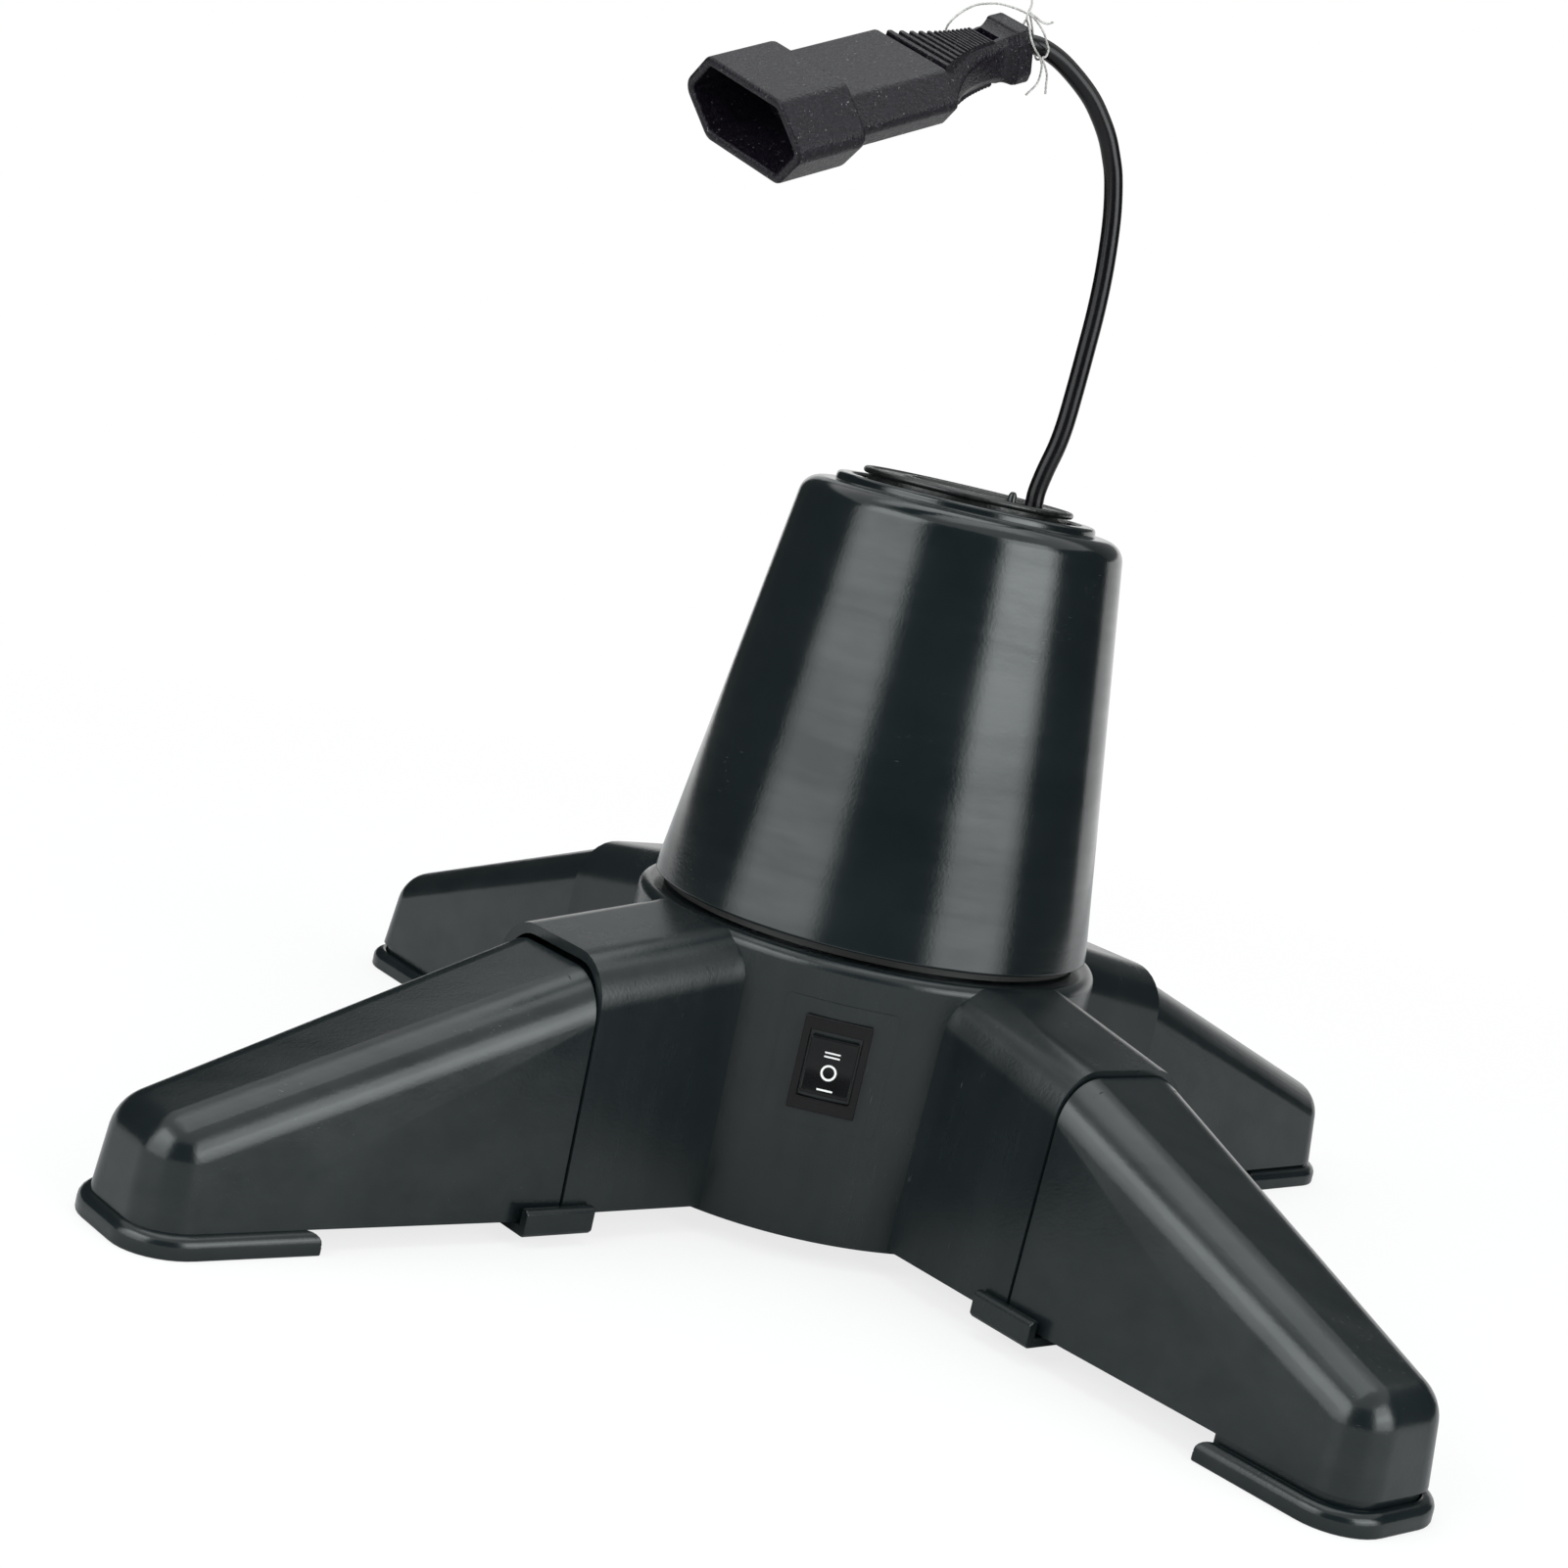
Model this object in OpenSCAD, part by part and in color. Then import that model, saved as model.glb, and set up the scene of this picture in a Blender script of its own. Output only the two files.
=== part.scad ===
// Rotating tree stand. Four push-in legs carry a round hub; a small geared motor in the hub
// turns a tapered drum that holds the tree's pole and leads power to its lights.
// Millimetres. Origin on the floor under the drum's axis, +Z up, rocker switch facing -Y.

/* [Hub] */
// Outer radius of the round hub
hub_r = 54.8; // [53:0.1:60]
// Height of the hub's underside above the floor
hub_bottom_z = 5.4; // [5:0.1:7]
// Height of the hub's top deck above the floor
hub_top_z = 67.4; // [66:0.1:76]
// Wall thickness of the hub and its arms
hub_wall = 2.4; // [1.8:0.1:3]
// Radius of the hub's rounded upper edge
hub_edge_r = 2.5; // [1:0.1:4]

/* [Arms] */
// Distance from the axis to the end of each arm
seam_r = 88.3; // [80:0.1:96]
// Half width of an arm at its lower end
arm_half_w = 20.8; // [19:0.1:24]
// Height of an arm's top at its outer end
arm_end_z = 61; // [58:0.1:64]
// Draft of the arms' and legs' side walls, degrees
side_draft = 1.3; // [0.5:0.1:2]
// Radius of the rounded upper edges of arms and legs
ridge_r = 9; // [6:0.5:10]

/* [Legs] */
// Distance from the axis to a leg's toe
toe_r = 179.5; // [165:0.5:200]
// Height of a leg's top at the seam
leg_top_z = 59.6; // [56:0.1:60.5]
// Height of a leg's lower edge above the floor
leg_bottom_z = 7.3; // [7.1:0.1:8.5]
// Height that a leg's top has fallen to above its toe
toe_top_z = 24; // [22:0.5:28]
// Half width of a leg at the seam
leg_half_w = 20.3; // [18:0.1:20.5]
// Half width of a leg at its toe
toe_half_w = 15.8; // [14:0.1:18]
// Plan radius of the toe's corners
toe_corner_r = 10.5; // [8:0.5:13]
// Radius of the toe's upper edge
toe_edge_r = 7; // [5:0.5:9]
// Wall thickness of a leg
leg_wall = 2.2; // [1.6:0.1:2.6]
// How far each leg has settled in its socket: front right, back right, back left, front left
leg_drop = [0, 1.2, 0, 2.2]; // [0:0.1:2.2]
// Length of the tongue that a leg pushes into its arm
tongue_l = 14; // [8:0.5:20]

/* [Foot shoes and clips] */
// Height of a foot shoe
shoe_h = 4.8; // [4:0.1:5]
// Length of a foot shoe, from its rear end to the leg's toe
shoe_l = 36; // [28:0.5:44]
// How far a shoe's rim stands out round the leg
shoe_rim = 2.6; // [2:0.1:4]
// Length of a lock clip along the leg
clip_l = 17.5; // [12:0.5:22]
// Height of a lock clip
clip_h = 6; // [5:0.1:8]
// Thickness of a lock clip's lips
clip_t = 2.3; // [1.6:0.1:2.6]

/* [Drum] */
// Outer radius of the drum at its lower edge
drum_r = 51.8; // [51:0.1:56]
// Height of the drum's lower edge above the hub's deck
drum_lift = 2.4; // [1.8:0.1:3]
// Height of the drum from lower edge to shoulder
drum_h = 97; // [80:0.5:120]
// Taper of the drum's side, degrees
drum_taper = 8.3; // [6:0.1:8.5]
// Radius of the drum's shoulder
shoulder_r = 5; // [3:0.1:7]
// Wall thickness of the drum
drum_wall = 2.3; // [1.8:0.1:2.6]
// Radius of the raised ring on the drum's top
step_r = 30.6; // [29:0.1:31]
// Height of the raised ring on the drum's top
step_h = 2; // [1.5:0.1:2.4]

/* [Pole socket and cap] */
// Inside radius of the steel pole tube
pole_r = 12.7; // [11:0.1:13]
// Wall thickness of the pole tube
pole_wall = 1.5; // [1:0.1:1.6]
// Outer radius of the cap's rim
cap_r = 24.8; // [24.4:0.1:26]
// Thickness of the cap's rim
cap_rim_t = 1.5; // [1:0.1:2]

/* [Turntable and thrust bearing] */
// Radius of the journal that turns in the deck's bush
journal_r = 24; // [23.6:0.1:25]
// Radial running clearance of shafts in their bushes
run_fit = 0.05; // [0.02:0.01:0.1]
// Thickness of the turntable
table_t = 3; // [2.5:0.1:4]
// Radius of the ball circle
ball_circle_r = 36.5; // [36:0.1:37]
// Diameter of a bearing ball
ball_d = 5; // [4.5:0.1:5.2]
// Number of balls
balls = 24; // [12:1:28]

/* [Gear train] */
// Tooth module
tooth_m = 1; // [1:0.1:1]
// Teeth of the main gear
gear_teeth = 60; // [56:2:60]
// Teeth of the motor pinion
pinion_teeth = 15; // [13:2:15]
// Face width of the main gear
gear_w = 7; // [5:0.5:8]
// Circumferential play between the gears
gear_play = 0.3; // [0.2:0.05:0.5]

/* [Motor] */
// Radius of the motor's can
motor_r = 22.8; // [20:0.1:23]
// Height of the motor's can
motor_h = 17; // [14:0.5:18]
// Radius of the motor's output shaft
shaft_r = 2.5; // [2:0.1:3]

/* [Rocker switch] */
// Width of the switch's bezel
bezel_w = 15; // [14:0.5:16]
// Height of the switch's bezel
bezel_h = 21; // [20:0.5:22]
// Width of the window that the rocker sits in
window_w = 11.7; // [11:0.1:12]
// Height of the window that the rocker sits in
window_h = 15; // [14.5:0.1:15.5]
// Height of the switch's centre above the floor
switch_z = 44.8; // [40:0.1:46]

/* [Flex and connector] */
// Diameter of the flex
flex_d = 4.2; // [3.8:0.1:4.4]
// Half width of the connector's mouth
mouth_half_w = 20.4; // [19:0.1:21.5]
// Half thickness of the connector's mouth
mouth_half_t = 8.8; // [8.4:0.1:9.5]
// Length of the connector from mouth to collar
connector_l = 71.3; // [70:0.1:76]
// Depth of the connector's recess
recess_l = 16.1; // [14:0.1:17]
// Diameter of the thread that holds the connector up
thread_d = 0.9; // [0.8:0.1:1.2]

/* [Hidden] */
$fn = 64;

GREEN = [0.13, 0.19, 0.18];
BLACK = [0.08, 0.08, 0.085];
STEEL = [0.62, 0.63, 0.65];
BRASS = [0.80, 0.62, 0.28];

// Clearances
fixed_fit = 0.05;       // between round pieces that are fixed together
seat_gap = 0.3;         // between a piece and the seat that it is laid in
seam_gap = 0.35;        // between a leg's shoulder and its arm
tiny = 0.02;

// Legs, anticlockwise from the front right
leg_angles = [-45, 45, 135, 225];
leg_run = toe_r - seam_r;
leg_fall = (leg_top_z - toe_top_z) / leg_run;
leg_taper = atan((leg_half_w - toe_half_w) / leg_run);

// Arm ridge: level with the deck at the hub, falling to the seam
arm_fall_deg = atan((hub_top_z - 0.3 - arm_end_z) / (seam_r - hub_r));
arm_depth = arm_end_z - hub_bottom_z;

// Thrust bearing stack, counted down from the turntable's underside
deck_t = 3;
table_z = hub_top_z + 0.6;
race_sink = 0.8;
race_t = 2.2;
race_w = 11;
groove_depth = 0.6;
ball_r = ball_d / 2;
ball_gap = 0.3;
groove_r = ball_r + ball_gap;
upper_race_z = table_z + race_sink - race_t;
ball_z = upper_race_z + groove_depth - groove_r;
lower_race_z = ball_z - groove_r + groove_depth - race_t;
well_floor_t = 2.4;
well_z = lower_race_z - well_floor_t;
well_wall = 2.4;
race_in_r = ball_circle_r - race_w / 2;
race_out_r = ball_circle_r + race_w / 2;
cage_t = 1.6;
cage_w = 9;
bush_t = 2.4;
bush_top_z = lower_race_z + 4.5;
collar_r = journal_r + run_fit + bush_t + fixed_fit;

// Turntable
table_r = drum_r - drum_wall - seat_gap;
table_top_z = table_z + table_t;
seat_r = journal_r - 2;
shoulder_z = well_z - 0.6;
gear_z = shoulder_z - gear_w;
clip_ring_t = 1;
clip_ring_z = gear_z - clip_ring_t - 0.1;
clip_ring_bite = 0.7;
pole_out_r = pole_r + pole_wall;
floor_t = 3;
boss_bottom_z = gear_z - 13;
pole_z = boss_bottom_z + floor_t;
duct_r = flex_d / 2 + 0.2;
duct_pos = [15.2, -10];
table_screw_r = table_r - 4.1;
table_screw_head_r = 2.6;

// Drum and cap
drum_z = hub_top_z + drum_lift;
drum_top_z = drum_z + drum_h;
step_z = drum_top_z + step_h;
cap_seat_z = drum_top_z + 0.4;
cap_hole_r = cap_r - 2.6;
cap_recess_r = cap_r + 2.2;
cap_rim_z = step_z + 0.8;
cap_top_z = cap_rim_z + cap_rim_t;
cap_neck_l = 7;
pole_top_z = cap_rim_z - 1.4;

// Gears
gear_pitch_r = tooth_m * gear_teeth / 2;
pinion_pitch_r = tooth_m * pinion_teeth / 2;
gear_distance = gear_pitch_r + pinion_pitch_r;

// Base plate and the pieces that stand on it
base_t = 2.6;
base_r = hub_r - hub_wall - seat_gap;
base_top_z = hub_bottom_z + base_t;
base_screw_r = base_r - 3.6;
screw_boss_r = 4;
screw_boss_h = 18;
screw_r = 1.5;
screw_head_r = 2.8;
screw_l = 12;
motor_x = gear_distance - 14.5;
motor_z = base_top_z + 3;
ear_z = motor_z + motor_h;
ear_t = 1.2;
ear_y = motor_r + 5.7;
post_r = 3.6;
motor_boss_h = 2;
disc_t = 3.5;
disc_r = 28;
disc_z = boss_bottom_z - disc_t;
track_w = 3;
track_t = 1;
track_stand = 0.5;
inner_track_r = 17;
outer_track_r = 23.5;
block_h = disc_z - base_top_z - 8;

// Switch: bezel face, wall cut and rocker pivot
pad_r = hub_r + 0.12;
pad_w = 25;
pad_h = 28;
bezel_t = 1.4;
bezel_back_y = -(hub_r - 0.3);
bezel_y = bezel_back_y - bezel_t;
body_w = bezel_w - 2;
body_h = bezel_h - 2;
body_l = hub_r - 0.3 - (gear_pitch_r + tooth_m) - 7.5;
pivot_y = bezel_back_y + 1.9;
pivot_r = 1;
rocker_w = window_w - 1.1;
rocker_h = window_h - 2;

// Mains flex inlet in the back wall
inlet_z = hub_bottom_z + 11;
inlet_r = 3.2;
inlet_barrel_r = 4.9;
inlet_flange_r = 6.4;
inlet_flange_t = 1.5;

// Connector: place of its mouth, its attitude, and its lengths from the mouth
connector_pos = [-60.6, -65.5, 234.9];
connector_turn = [18.1, -26.1, 41.3];
shroud_l = recess_l + 1.5;
grip_l = 25.7;
neck_l = 20.5;
shroud_wall = 2.2;
grip_half_w = mouth_half_w - 3.5;
grip_half_t = mouth_half_t - 2.9;
neck_half_w = 4.8;
neck_half_t = 5;
collar_half_w = 6.3;
collar_half_t = 6.3;
collar_l = 3.9;
rib_count = 12;
contact_pitch = 19;
contact_r = 2.4;
contact_bore_r = 2.05;
contact_l = 20;

// Flex route from the cap to the connector's collar, and the thread's route up from the collar
flex_route = [[15.2, -10, 171.5], [15.2, -10, 174.5], [16, -10, 179.5], [17.2, -9.9, 185],
    [17.9, -9.8, 190.4], [18.3, -9.6, 198.1], [18.6, -9.4, 207.1], [18.8, -9.3, 216.1],
    [18.6, -9.4, 224.9], [17.9, -9.6, 233.6], [17, -9.9, 240], [15.6, -10.4, 246.2],
    [14.1, -10.9, 250.2], [12.3, -11.6, 254], [9.8, -12.5, 257.7], [6.8, -13.6, 261.2],
    [2.8, -15.1, 264.4], [-1.8, -16.9, 267.2], [-6.2, -18.9, 268.6], [-9.6, -20.8, 268.3],
    [-12.5, -23.3, 266.3], [-13.8, -24.5, 265.4]];
thread_route = [[-11.4, -23.2, 269.6], [-10.3, -22, 272.2], [-10.1, -21.3, 275.6],
    [-10.8, -21, 279], [-12, -20.6, 283.6], [-13.5, -20, 289.7]];
thread_eye_r = 2.6;

// ---------------------------------------------------------------- shared shapes

function arc(centre, r, from, to, steps = 10) =
    [for (k = [0:steps]) let(a = from + (to - from) * k / steps)
        centre + r * [cos(a), sin(a)]];

// Outline with drafted sides and two rounded upper corners; half_w is taken at y0.
module arch_2d(half_w, y0, y1, r, draft) {
    tangent_y = y1 - r + r * sin(draft);
    tangent_x = half_w - (tangent_y - y0) * tan(draft);
    centre_x = tangent_x - r * cos(draft);
    polygon(concat([[-half_w, y0], [half_w, y0]],
        arc([centre_x, y1 - r], r, draft, 90),
        arc([-centre_x, y1 - r], r, 90, 180 - draft)));
}

// Turns a flat outline to face outwards along +X: its x becomes Y, its y becomes Z.
module along_x(from, to) {
    translate([from, 0, 0]) rotate([90, 0, 90]) linear_extrude(to - from) children();
}

module ring(r_in, r_out, z, h) {
    translate([0, 0, z]) difference() {
        cylinder(r = r_out, h = h);
        translate([0, 0, -1]) cylinder(r = r_in, h = h + 2);
    }
}

module at_leg(i) rotate([0, 0, leg_angles[i]]) children();

// Slotted pan-head screw, head upwards, with the underside of its head at z = 0.
module pan_screw(r, head_r, l) {
    difference() {
        union() {
            translate([0, 0, -l]) cylinder(r = r, h = l + tiny);
            cylinder(r1 = head_r, r2 = head_r * 0.8, h = r * 1.1);
        }
        translate([-head_r, -0.35, r * 0.55]) cube([2 * head_r, 0.7, r]);
    }
}

// ---------------------------------------------------------------- hub and base

// An arm's form, drawn in by `inset`, between two distances from the axis.
module arm_form(inset, from, to, low_z) {
    sweep_depth = arm_depth + 30;
    half_w = arm_half_w - inset + (sweep_depth - arm_depth) * tan(side_draft);
    intersection() {
        translate([seam_r, 0, arm_end_z]) rotate([0, arm_fall_deg, 0])
            along_x(-seam_r, 20)
                arch_2d(half_w, -sweep_depth, -inset, ridge_r - inset, side_draft);
        translate([from, -2 * arm_half_w, low_z])
            cube([to - from, 4 * arm_half_w, hub_top_z + 20]);
    }
}

module arm_shell() {
    difference() {
        arm_form(0, hub_r - 10, seam_r, hub_bottom_z);
        arm_form(hub_wall, hub_r - 12, seam_r + 1, hub_bottom_z - 1);
        translate([0, 0, -1]) cylinder(r = hub_r - hub_wall / 2, h = hub_top_z + 5);
    }
}

// Deck, bearing well and outer wall in one revolved outline.
module hub_section() {
    well_out_r = race_out_r + seat_gap;
    difference() {
        union() {
            translate([collar_r, hub_bottom_z])
                square([hub_r - collar_r, hub_top_z - hub_edge_r - hub_bottom_z]);
            translate([collar_r, hub_top_z - hub_edge_r - tiny])
                square([hub_r - hub_edge_r - collar_r, hub_edge_r + tiny]);
            translate([hub_r - hub_edge_r, hub_top_z - hub_edge_r]) circle(hub_edge_r);
        }
        // room below the deck, up to the well's outer wall
        translate([0, hub_bottom_z - 1])
            square([hub_r - hub_wall, well_z - hub_bottom_z + 1]);
        translate([well_out_r + well_wall, hub_bottom_z])
            square([hub_r - hub_wall - well_out_r - well_wall,
                hub_top_z - deck_t - hub_bottom_z]);
        // the well itself
        translate([collar_r + well_wall, lower_race_z])
            square([well_out_r - collar_r - well_wall, hub_top_z]);
        translate([0, bush_top_z]) square([collar_r + well_wall + tiny, hub_top_z]);
    }
}

// Raised flat pad round the switch, curved as the wall and levelled under the bezel.
module switch_pad() {
    difference() {
        intersection() {
            translate([0, 0, switch_z - pad_h / 2]) cylinder(r = pad_r, h = pad_h);
            translate([-pad_w / 2, -pad_r - 1, switch_z - pad_h / 2])
                cube([pad_w, pad_r - hub_r * 0.9, pad_h]);
        }
        translate([0, 0, switch_z - pad_h]) cylinder(r = hub_r - hub_wall / 2, h = 2 * pad_h);
    }
}

module hub_housing() color(GREEN) {
    difference() {
        union() {
            rotate_extrude() hub_section();
            for (i = [0:3]) at_leg(i) arm_shell();
            for (i = [0:3]) at_leg(i) translate([base_screw_r, 0, base_top_z])
                cylinder(r = screw_boss_r, h = screw_boss_h);
            switch_pad();
        }
        // screw holes
        for (i = [0:3]) at_leg(i) translate([base_screw_r, 0, base_top_z - 1])
            cylinder(r = screw_r + fixed_fit, h = screw_boss_h - 1);
        // seat and opening for the switch
        translate([-bezel_w / 2 - 0.15, -pad_r - 2, switch_z - bezel_h / 2 - 0.15])
            cube([bezel_w + 0.3, pad_r + 2 + bezel_back_y, bezel_h + 0.3]);
        translate([-body_w / 2 - 0.1, -pad_r - 2, switch_z - body_h / 2 - 0.1])
            cube([body_w + 0.2, 10, body_h + 0.2]);
        // mains flex inlet
        translate([0, hub_r + 2, inlet_z]) rotate([90, 0, 0])
            cylinder(r = inlet_barrel_r + fixed_fit, h = hub_wall + 6);
    }
}

module base_plate() color(BLACK) {
    slot_l = 12;
    head_sink = 1.4;
    difference() {
        union() {
            translate([0, 0, hub_bottom_z]) cylinder(r = base_r, h = base_t);
            for (side = [-1, 1]) translate([motor_x, side * ear_y, base_top_z - tiny])
                cylinder(r = post_r, h = ear_z - base_top_z + tiny);
        }
        for (i = [0:3]) at_leg(i) translate([base_screw_r, 0, hub_bottom_z - 1]) {
            cylinder(r = screw_r + 0.2, h = base_t + 2);
            cylinder(r = screw_head_r + 0.3, h = head_sink + 1);
        }
        for (side = [-1, 1]) translate([motor_x, side * ear_y, ear_z - screw_l])
            cylinder(r = screw_r + fixed_fit, h = screw_l + 1);
        // cooling slots under the motor
        for (k = [-2:2]) translate([motor_x - slot_l / 2 - 2, k * 6 - 1, hub_bottom_z - 1])
            cube([slot_l + 4, 2, base_t + 2]);
    }
}

module base_screws() color(STEEL)
    for (i = [0:3]) at_leg(i) translate([base_screw_r, 0, hub_bottom_z + 1.4])
        mirror([0, 0, 1]) pan_screw(screw_r, screw_head_r, screw_l);

// ---------------------------------------------------------------- legs, shoes, clips

function leg_z(i) = leg_bottom_z - leg_drop[i];

// Plan outline of a leg, grown by `grow`, from a distance outwards; x runs to the toe.
module leg_plan(grow, from) {
    start_half_w = leg_half_w + grow - (from - seam_r) * tan(leg_taper);
    rotate(-90) arch_2d(start_half_w, from, toe_r + grow, toe_corner_r + grow, leg_taper);
}

// A leg's form, drawn in by `inset`: ridge discs at the seam, balls at the toe, plan below.
module leg_form(inset, start, low_z) {
    ball = ridge_r - inset;
    top_half_w = leg_half_w - (leg_top_z - leg_bottom_z) * tan(side_draft);
    toe_ball = toe_edge_r - inset;
    toe_ball_x = toe_r - 1.5 - toe_edge_r;
    toe_top_half_w = toe_half_w - 0.8;
    hull() {
        for (side = [-1, 1]) {
            translate([start, side * (top_half_w - ridge_r), leg_top_z - ridge_r
                    - leg_fall * (start - seam_r)])
                rotate([0, 90, 0]) cylinder(r = ball, h = tiny, $fn = 40);
            translate([toe_ball_x, side * (toe_top_half_w - toe_edge_r), leg_top_z
                    - leg_fall * (toe_ball_x - seam_r)
                    - toe_edge_r * sqrt(1 + leg_fall * leg_fall)])
                sphere(r = toe_ball, $fn = 40);
        }
        translate([0, 0, low_z]) linear_extrude(tiny) leg_plan(-inset, start, $fn = 48);
    }
}

module leg_body(i) {
    start = seam_r + seam_gap;
    rib_t = 1.6;
    rib_pitch = 22;
    difference() {
        leg_form(0, start, leg_bottom_z);
        leg_form(leg_wall, start - tiny, leg_bottom_z - tiny);
    }
    // cross ribs in the hollow, standing clear of the lower edge
    for (k = [1:3]) intersection() {
        leg_form(leg_wall - tiny, start, leg_bottom_z);
        translate([start + k * rib_pitch, -leg_half_w, leg_bottom_z + 4])
            cube([rib_t, 2 * leg_half_w, leg_top_z]);
    }
}

// Hollow tongue that pushes into the arm.
module leg_tongue(i) {
    half_w = arm_half_w - hub_wall - seat_gap;
    low_z = leg_bottom_z + clip_h;
    top_z = arm_end_z - hub_wall - seat_gap - 0.4;
    side_r = ridge_r - hub_wall - seat_gap;
    draft_in = (low_z - hub_bottom_z) * tan(side_draft);
    along_x(seam_r - tongue_l, seam_r + 4) difference() {
        arch_2d(half_w - draft_in, low_z, top_z, side_r, side_draft);
        translate([0, -1]) arch_2d(half_w - draft_in - 2, low_z, top_z - 1, side_r - 1.8,
            side_draft);
    }
}

// Thin skirt under the toe that stands in the shoe's tray.
module leg_skirt(i) {
    skirt_h = 2.8;
    from = toe_r - shoe_l + 2;
    translate([0, 0, leg_bottom_z - skirt_h]) difference() {
        linear_extrude(skirt_h + 1) leg_plan(-1.2, from);
        translate([0, 0, -1]) linear_extrude(skirt_h + 3) leg_plan(-leg_wall - 0.1, from - 1);
    }
}

module leg(i) color(GREEN) at_leg(i) translate([0, 0, -leg_drop[i]]) {
    leg_body(i);
    leg_tongue(i);
    leg_skirt(i);
}

module foot_shoe(i) color(GREEN) at_leg(i) {
    from = toe_r - shoe_l;
    tray_t = 2;
    bulge_z = shoe_h * 0.55;
    difference() {
        hull() {
            linear_extrude(tiny) leg_plan(shoe_rim - 1.5, from, $fn = 48);
            translate([0, 0, bulge_z - 0.8]) linear_extrude(1.6)
                leg_plan(shoe_rim, from, $fn = 48);
            translate([0, 0, shoe_h - tiny]) linear_extrude(tiny)
                leg_plan(shoe_rim - 1.3, from, $fn = 48);
        }
        translate([0, 0, tray_t]) linear_extrude(shoe_h) leg_plan(-1.2 + seat_gap, from - 1);
    }
}

// U-shaped clip whose lips grip the lower edges of the arm and the leg, outside and inside.
module lock_clip(i) color(GREEN) at_leg(i) {
    floor_h = 2.2;
    floor_z = min(hub_bottom_z, leg_z(i)) - seat_gap - floor_h;
    lip_gap = arm_half_w + seat_gap + 0.1;
    inner_lip = leg_half_w - leg_wall - 0.9;
    inner_t = 1.6;
    edge = 0.8;
    mid_x = seam_r + seam_gap / 2 + 1.5;
    half = [[inner_lip - inner_t, floor_h], [inner_lip - inner_t, clip_h - 1],
        [inner_lip, clip_h - 1], [inner_lip, floor_h], [lip_gap, floor_h],
        [lip_gap, clip_h], [lip_gap + clip_t - edge, clip_h],
        [lip_gap + clip_t, clip_h - edge], [lip_gap + clip_t, edge],
        [lip_gap + clip_t - edge, 0]];
    last = len(half) - 1;
    translate([0, 0, floor_z]) along_x(mid_x - clip_l / 2, mid_x + clip_l / 2)
        polygon(concat(half, [for (k = [last:-1:0]) [-half[k][0], half[k][1]]]));
}

// ---------------------------------------------------------------- switch and inlet

module switch_housing() color(BLACK) {
    difference() {
        union() {
            translate([-bezel_w / 2, bezel_y + 0.5, switch_z - bezel_h / 2])
                cube([bezel_w, bezel_t - 0.5, bezel_h]);
            translate([-bezel_w / 2 + 0.5, bezel_y, switch_z - bezel_h / 2 + 0.5])
                cube([bezel_w - 1, 1, bezel_h - 1]);
            translate([-body_w / 2, bezel_back_y - tiny, switch_z - body_h / 2])
                cube([body_w, body_l, body_h]);
            // spring tongues that snap behind the wall
            for (side = [-1, 1]) translate([0, bezel_back_y + 3.4,
                    switch_z + side * (body_h / 2 + 0.3)])
                cube([5, 2, 1.2], center = true);
        }
        translate([-window_w / 2, bezel_y - 1, switch_z - window_h / 2])
            cube([window_w, 10, window_h]);
        translate([-body_w / 2 - 1, pivot_y, switch_z]) rotate([0, 90, 0])
            cylinder(r = pivot_r + run_fit, h = body_w + 2);
    }
}

// Rocker with a shallow dished face and a pin at each side.
module switch_rocker() color(BLACK) {
    face_y = bezel_y - 0.5;
    dish = 1.1;
    half_h = rocker_h / 2;
    translate([0, 0, switch_z]) {
        along_x(-rocker_w / 2, rocker_w / 2)
            polygon([[face_y + 0.4, -half_h], [face_y, -half_h + 0.4],
                [face_y + dish * 0.7, -half_h / 3], [face_y + dish, 0],
                [face_y + dish * 0.7, half_h / 3], [face_y, half_h - 0.4],
                [face_y + 0.4, half_h], [pivot_y - 0.6, half_h - 0.7],
                [pivot_y + 2.6, 2], [pivot_y + 2.6, -2], [pivot_y - 0.6, -half_h + 0.7]]);
        translate([-body_w / 2 + 0.1, pivot_y, 0]) rotate([0, 90, 0])
            cylinder(r = pivot_r, h = body_w - 0.2);
    }
}

module switch_terminals() color(BRASS)
    for (k = [-1:1]) translate([-2.4, bezel_back_y + body_l - tiny,
            switch_z + k * 6.2 - 0.4]) difference() {
        cube([4.8, 5, 0.8]);
        translate([2.4, 3.2, -1]) cylinder(r = 0.8, h = 3);
    }

// Ribbed bush that guards the mains flex where it enters the hub's back wall.
module cord_inlet_bush() color(BLACK)
    translate([0, hub_r + 0.1, inlet_z]) rotate([-90, 0, 0]) difference() {
        union() {
            translate([0, 0, -hub_wall - 1.8]) cylinder(r = inlet_barrel_r, h = hub_wall + 3);
            cylinder(r = inlet_flange_r, h = inlet_flange_t);
            translate([0, 0, inlet_flange_t - tiny])
                cylinder(r1 = inlet_flange_r - 0.9, r2 = inlet_barrel_r - 0.6, h = 3);
            translate([0, 0, -hub_wall - 2.2]) cylinder(r = inlet_flange_r - 0.4, h = 1.2);
        }
        translate([0, 0, -hub_wall - 5]) cylinder(r = inlet_r, h = hub_wall + 12);
    }

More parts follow.
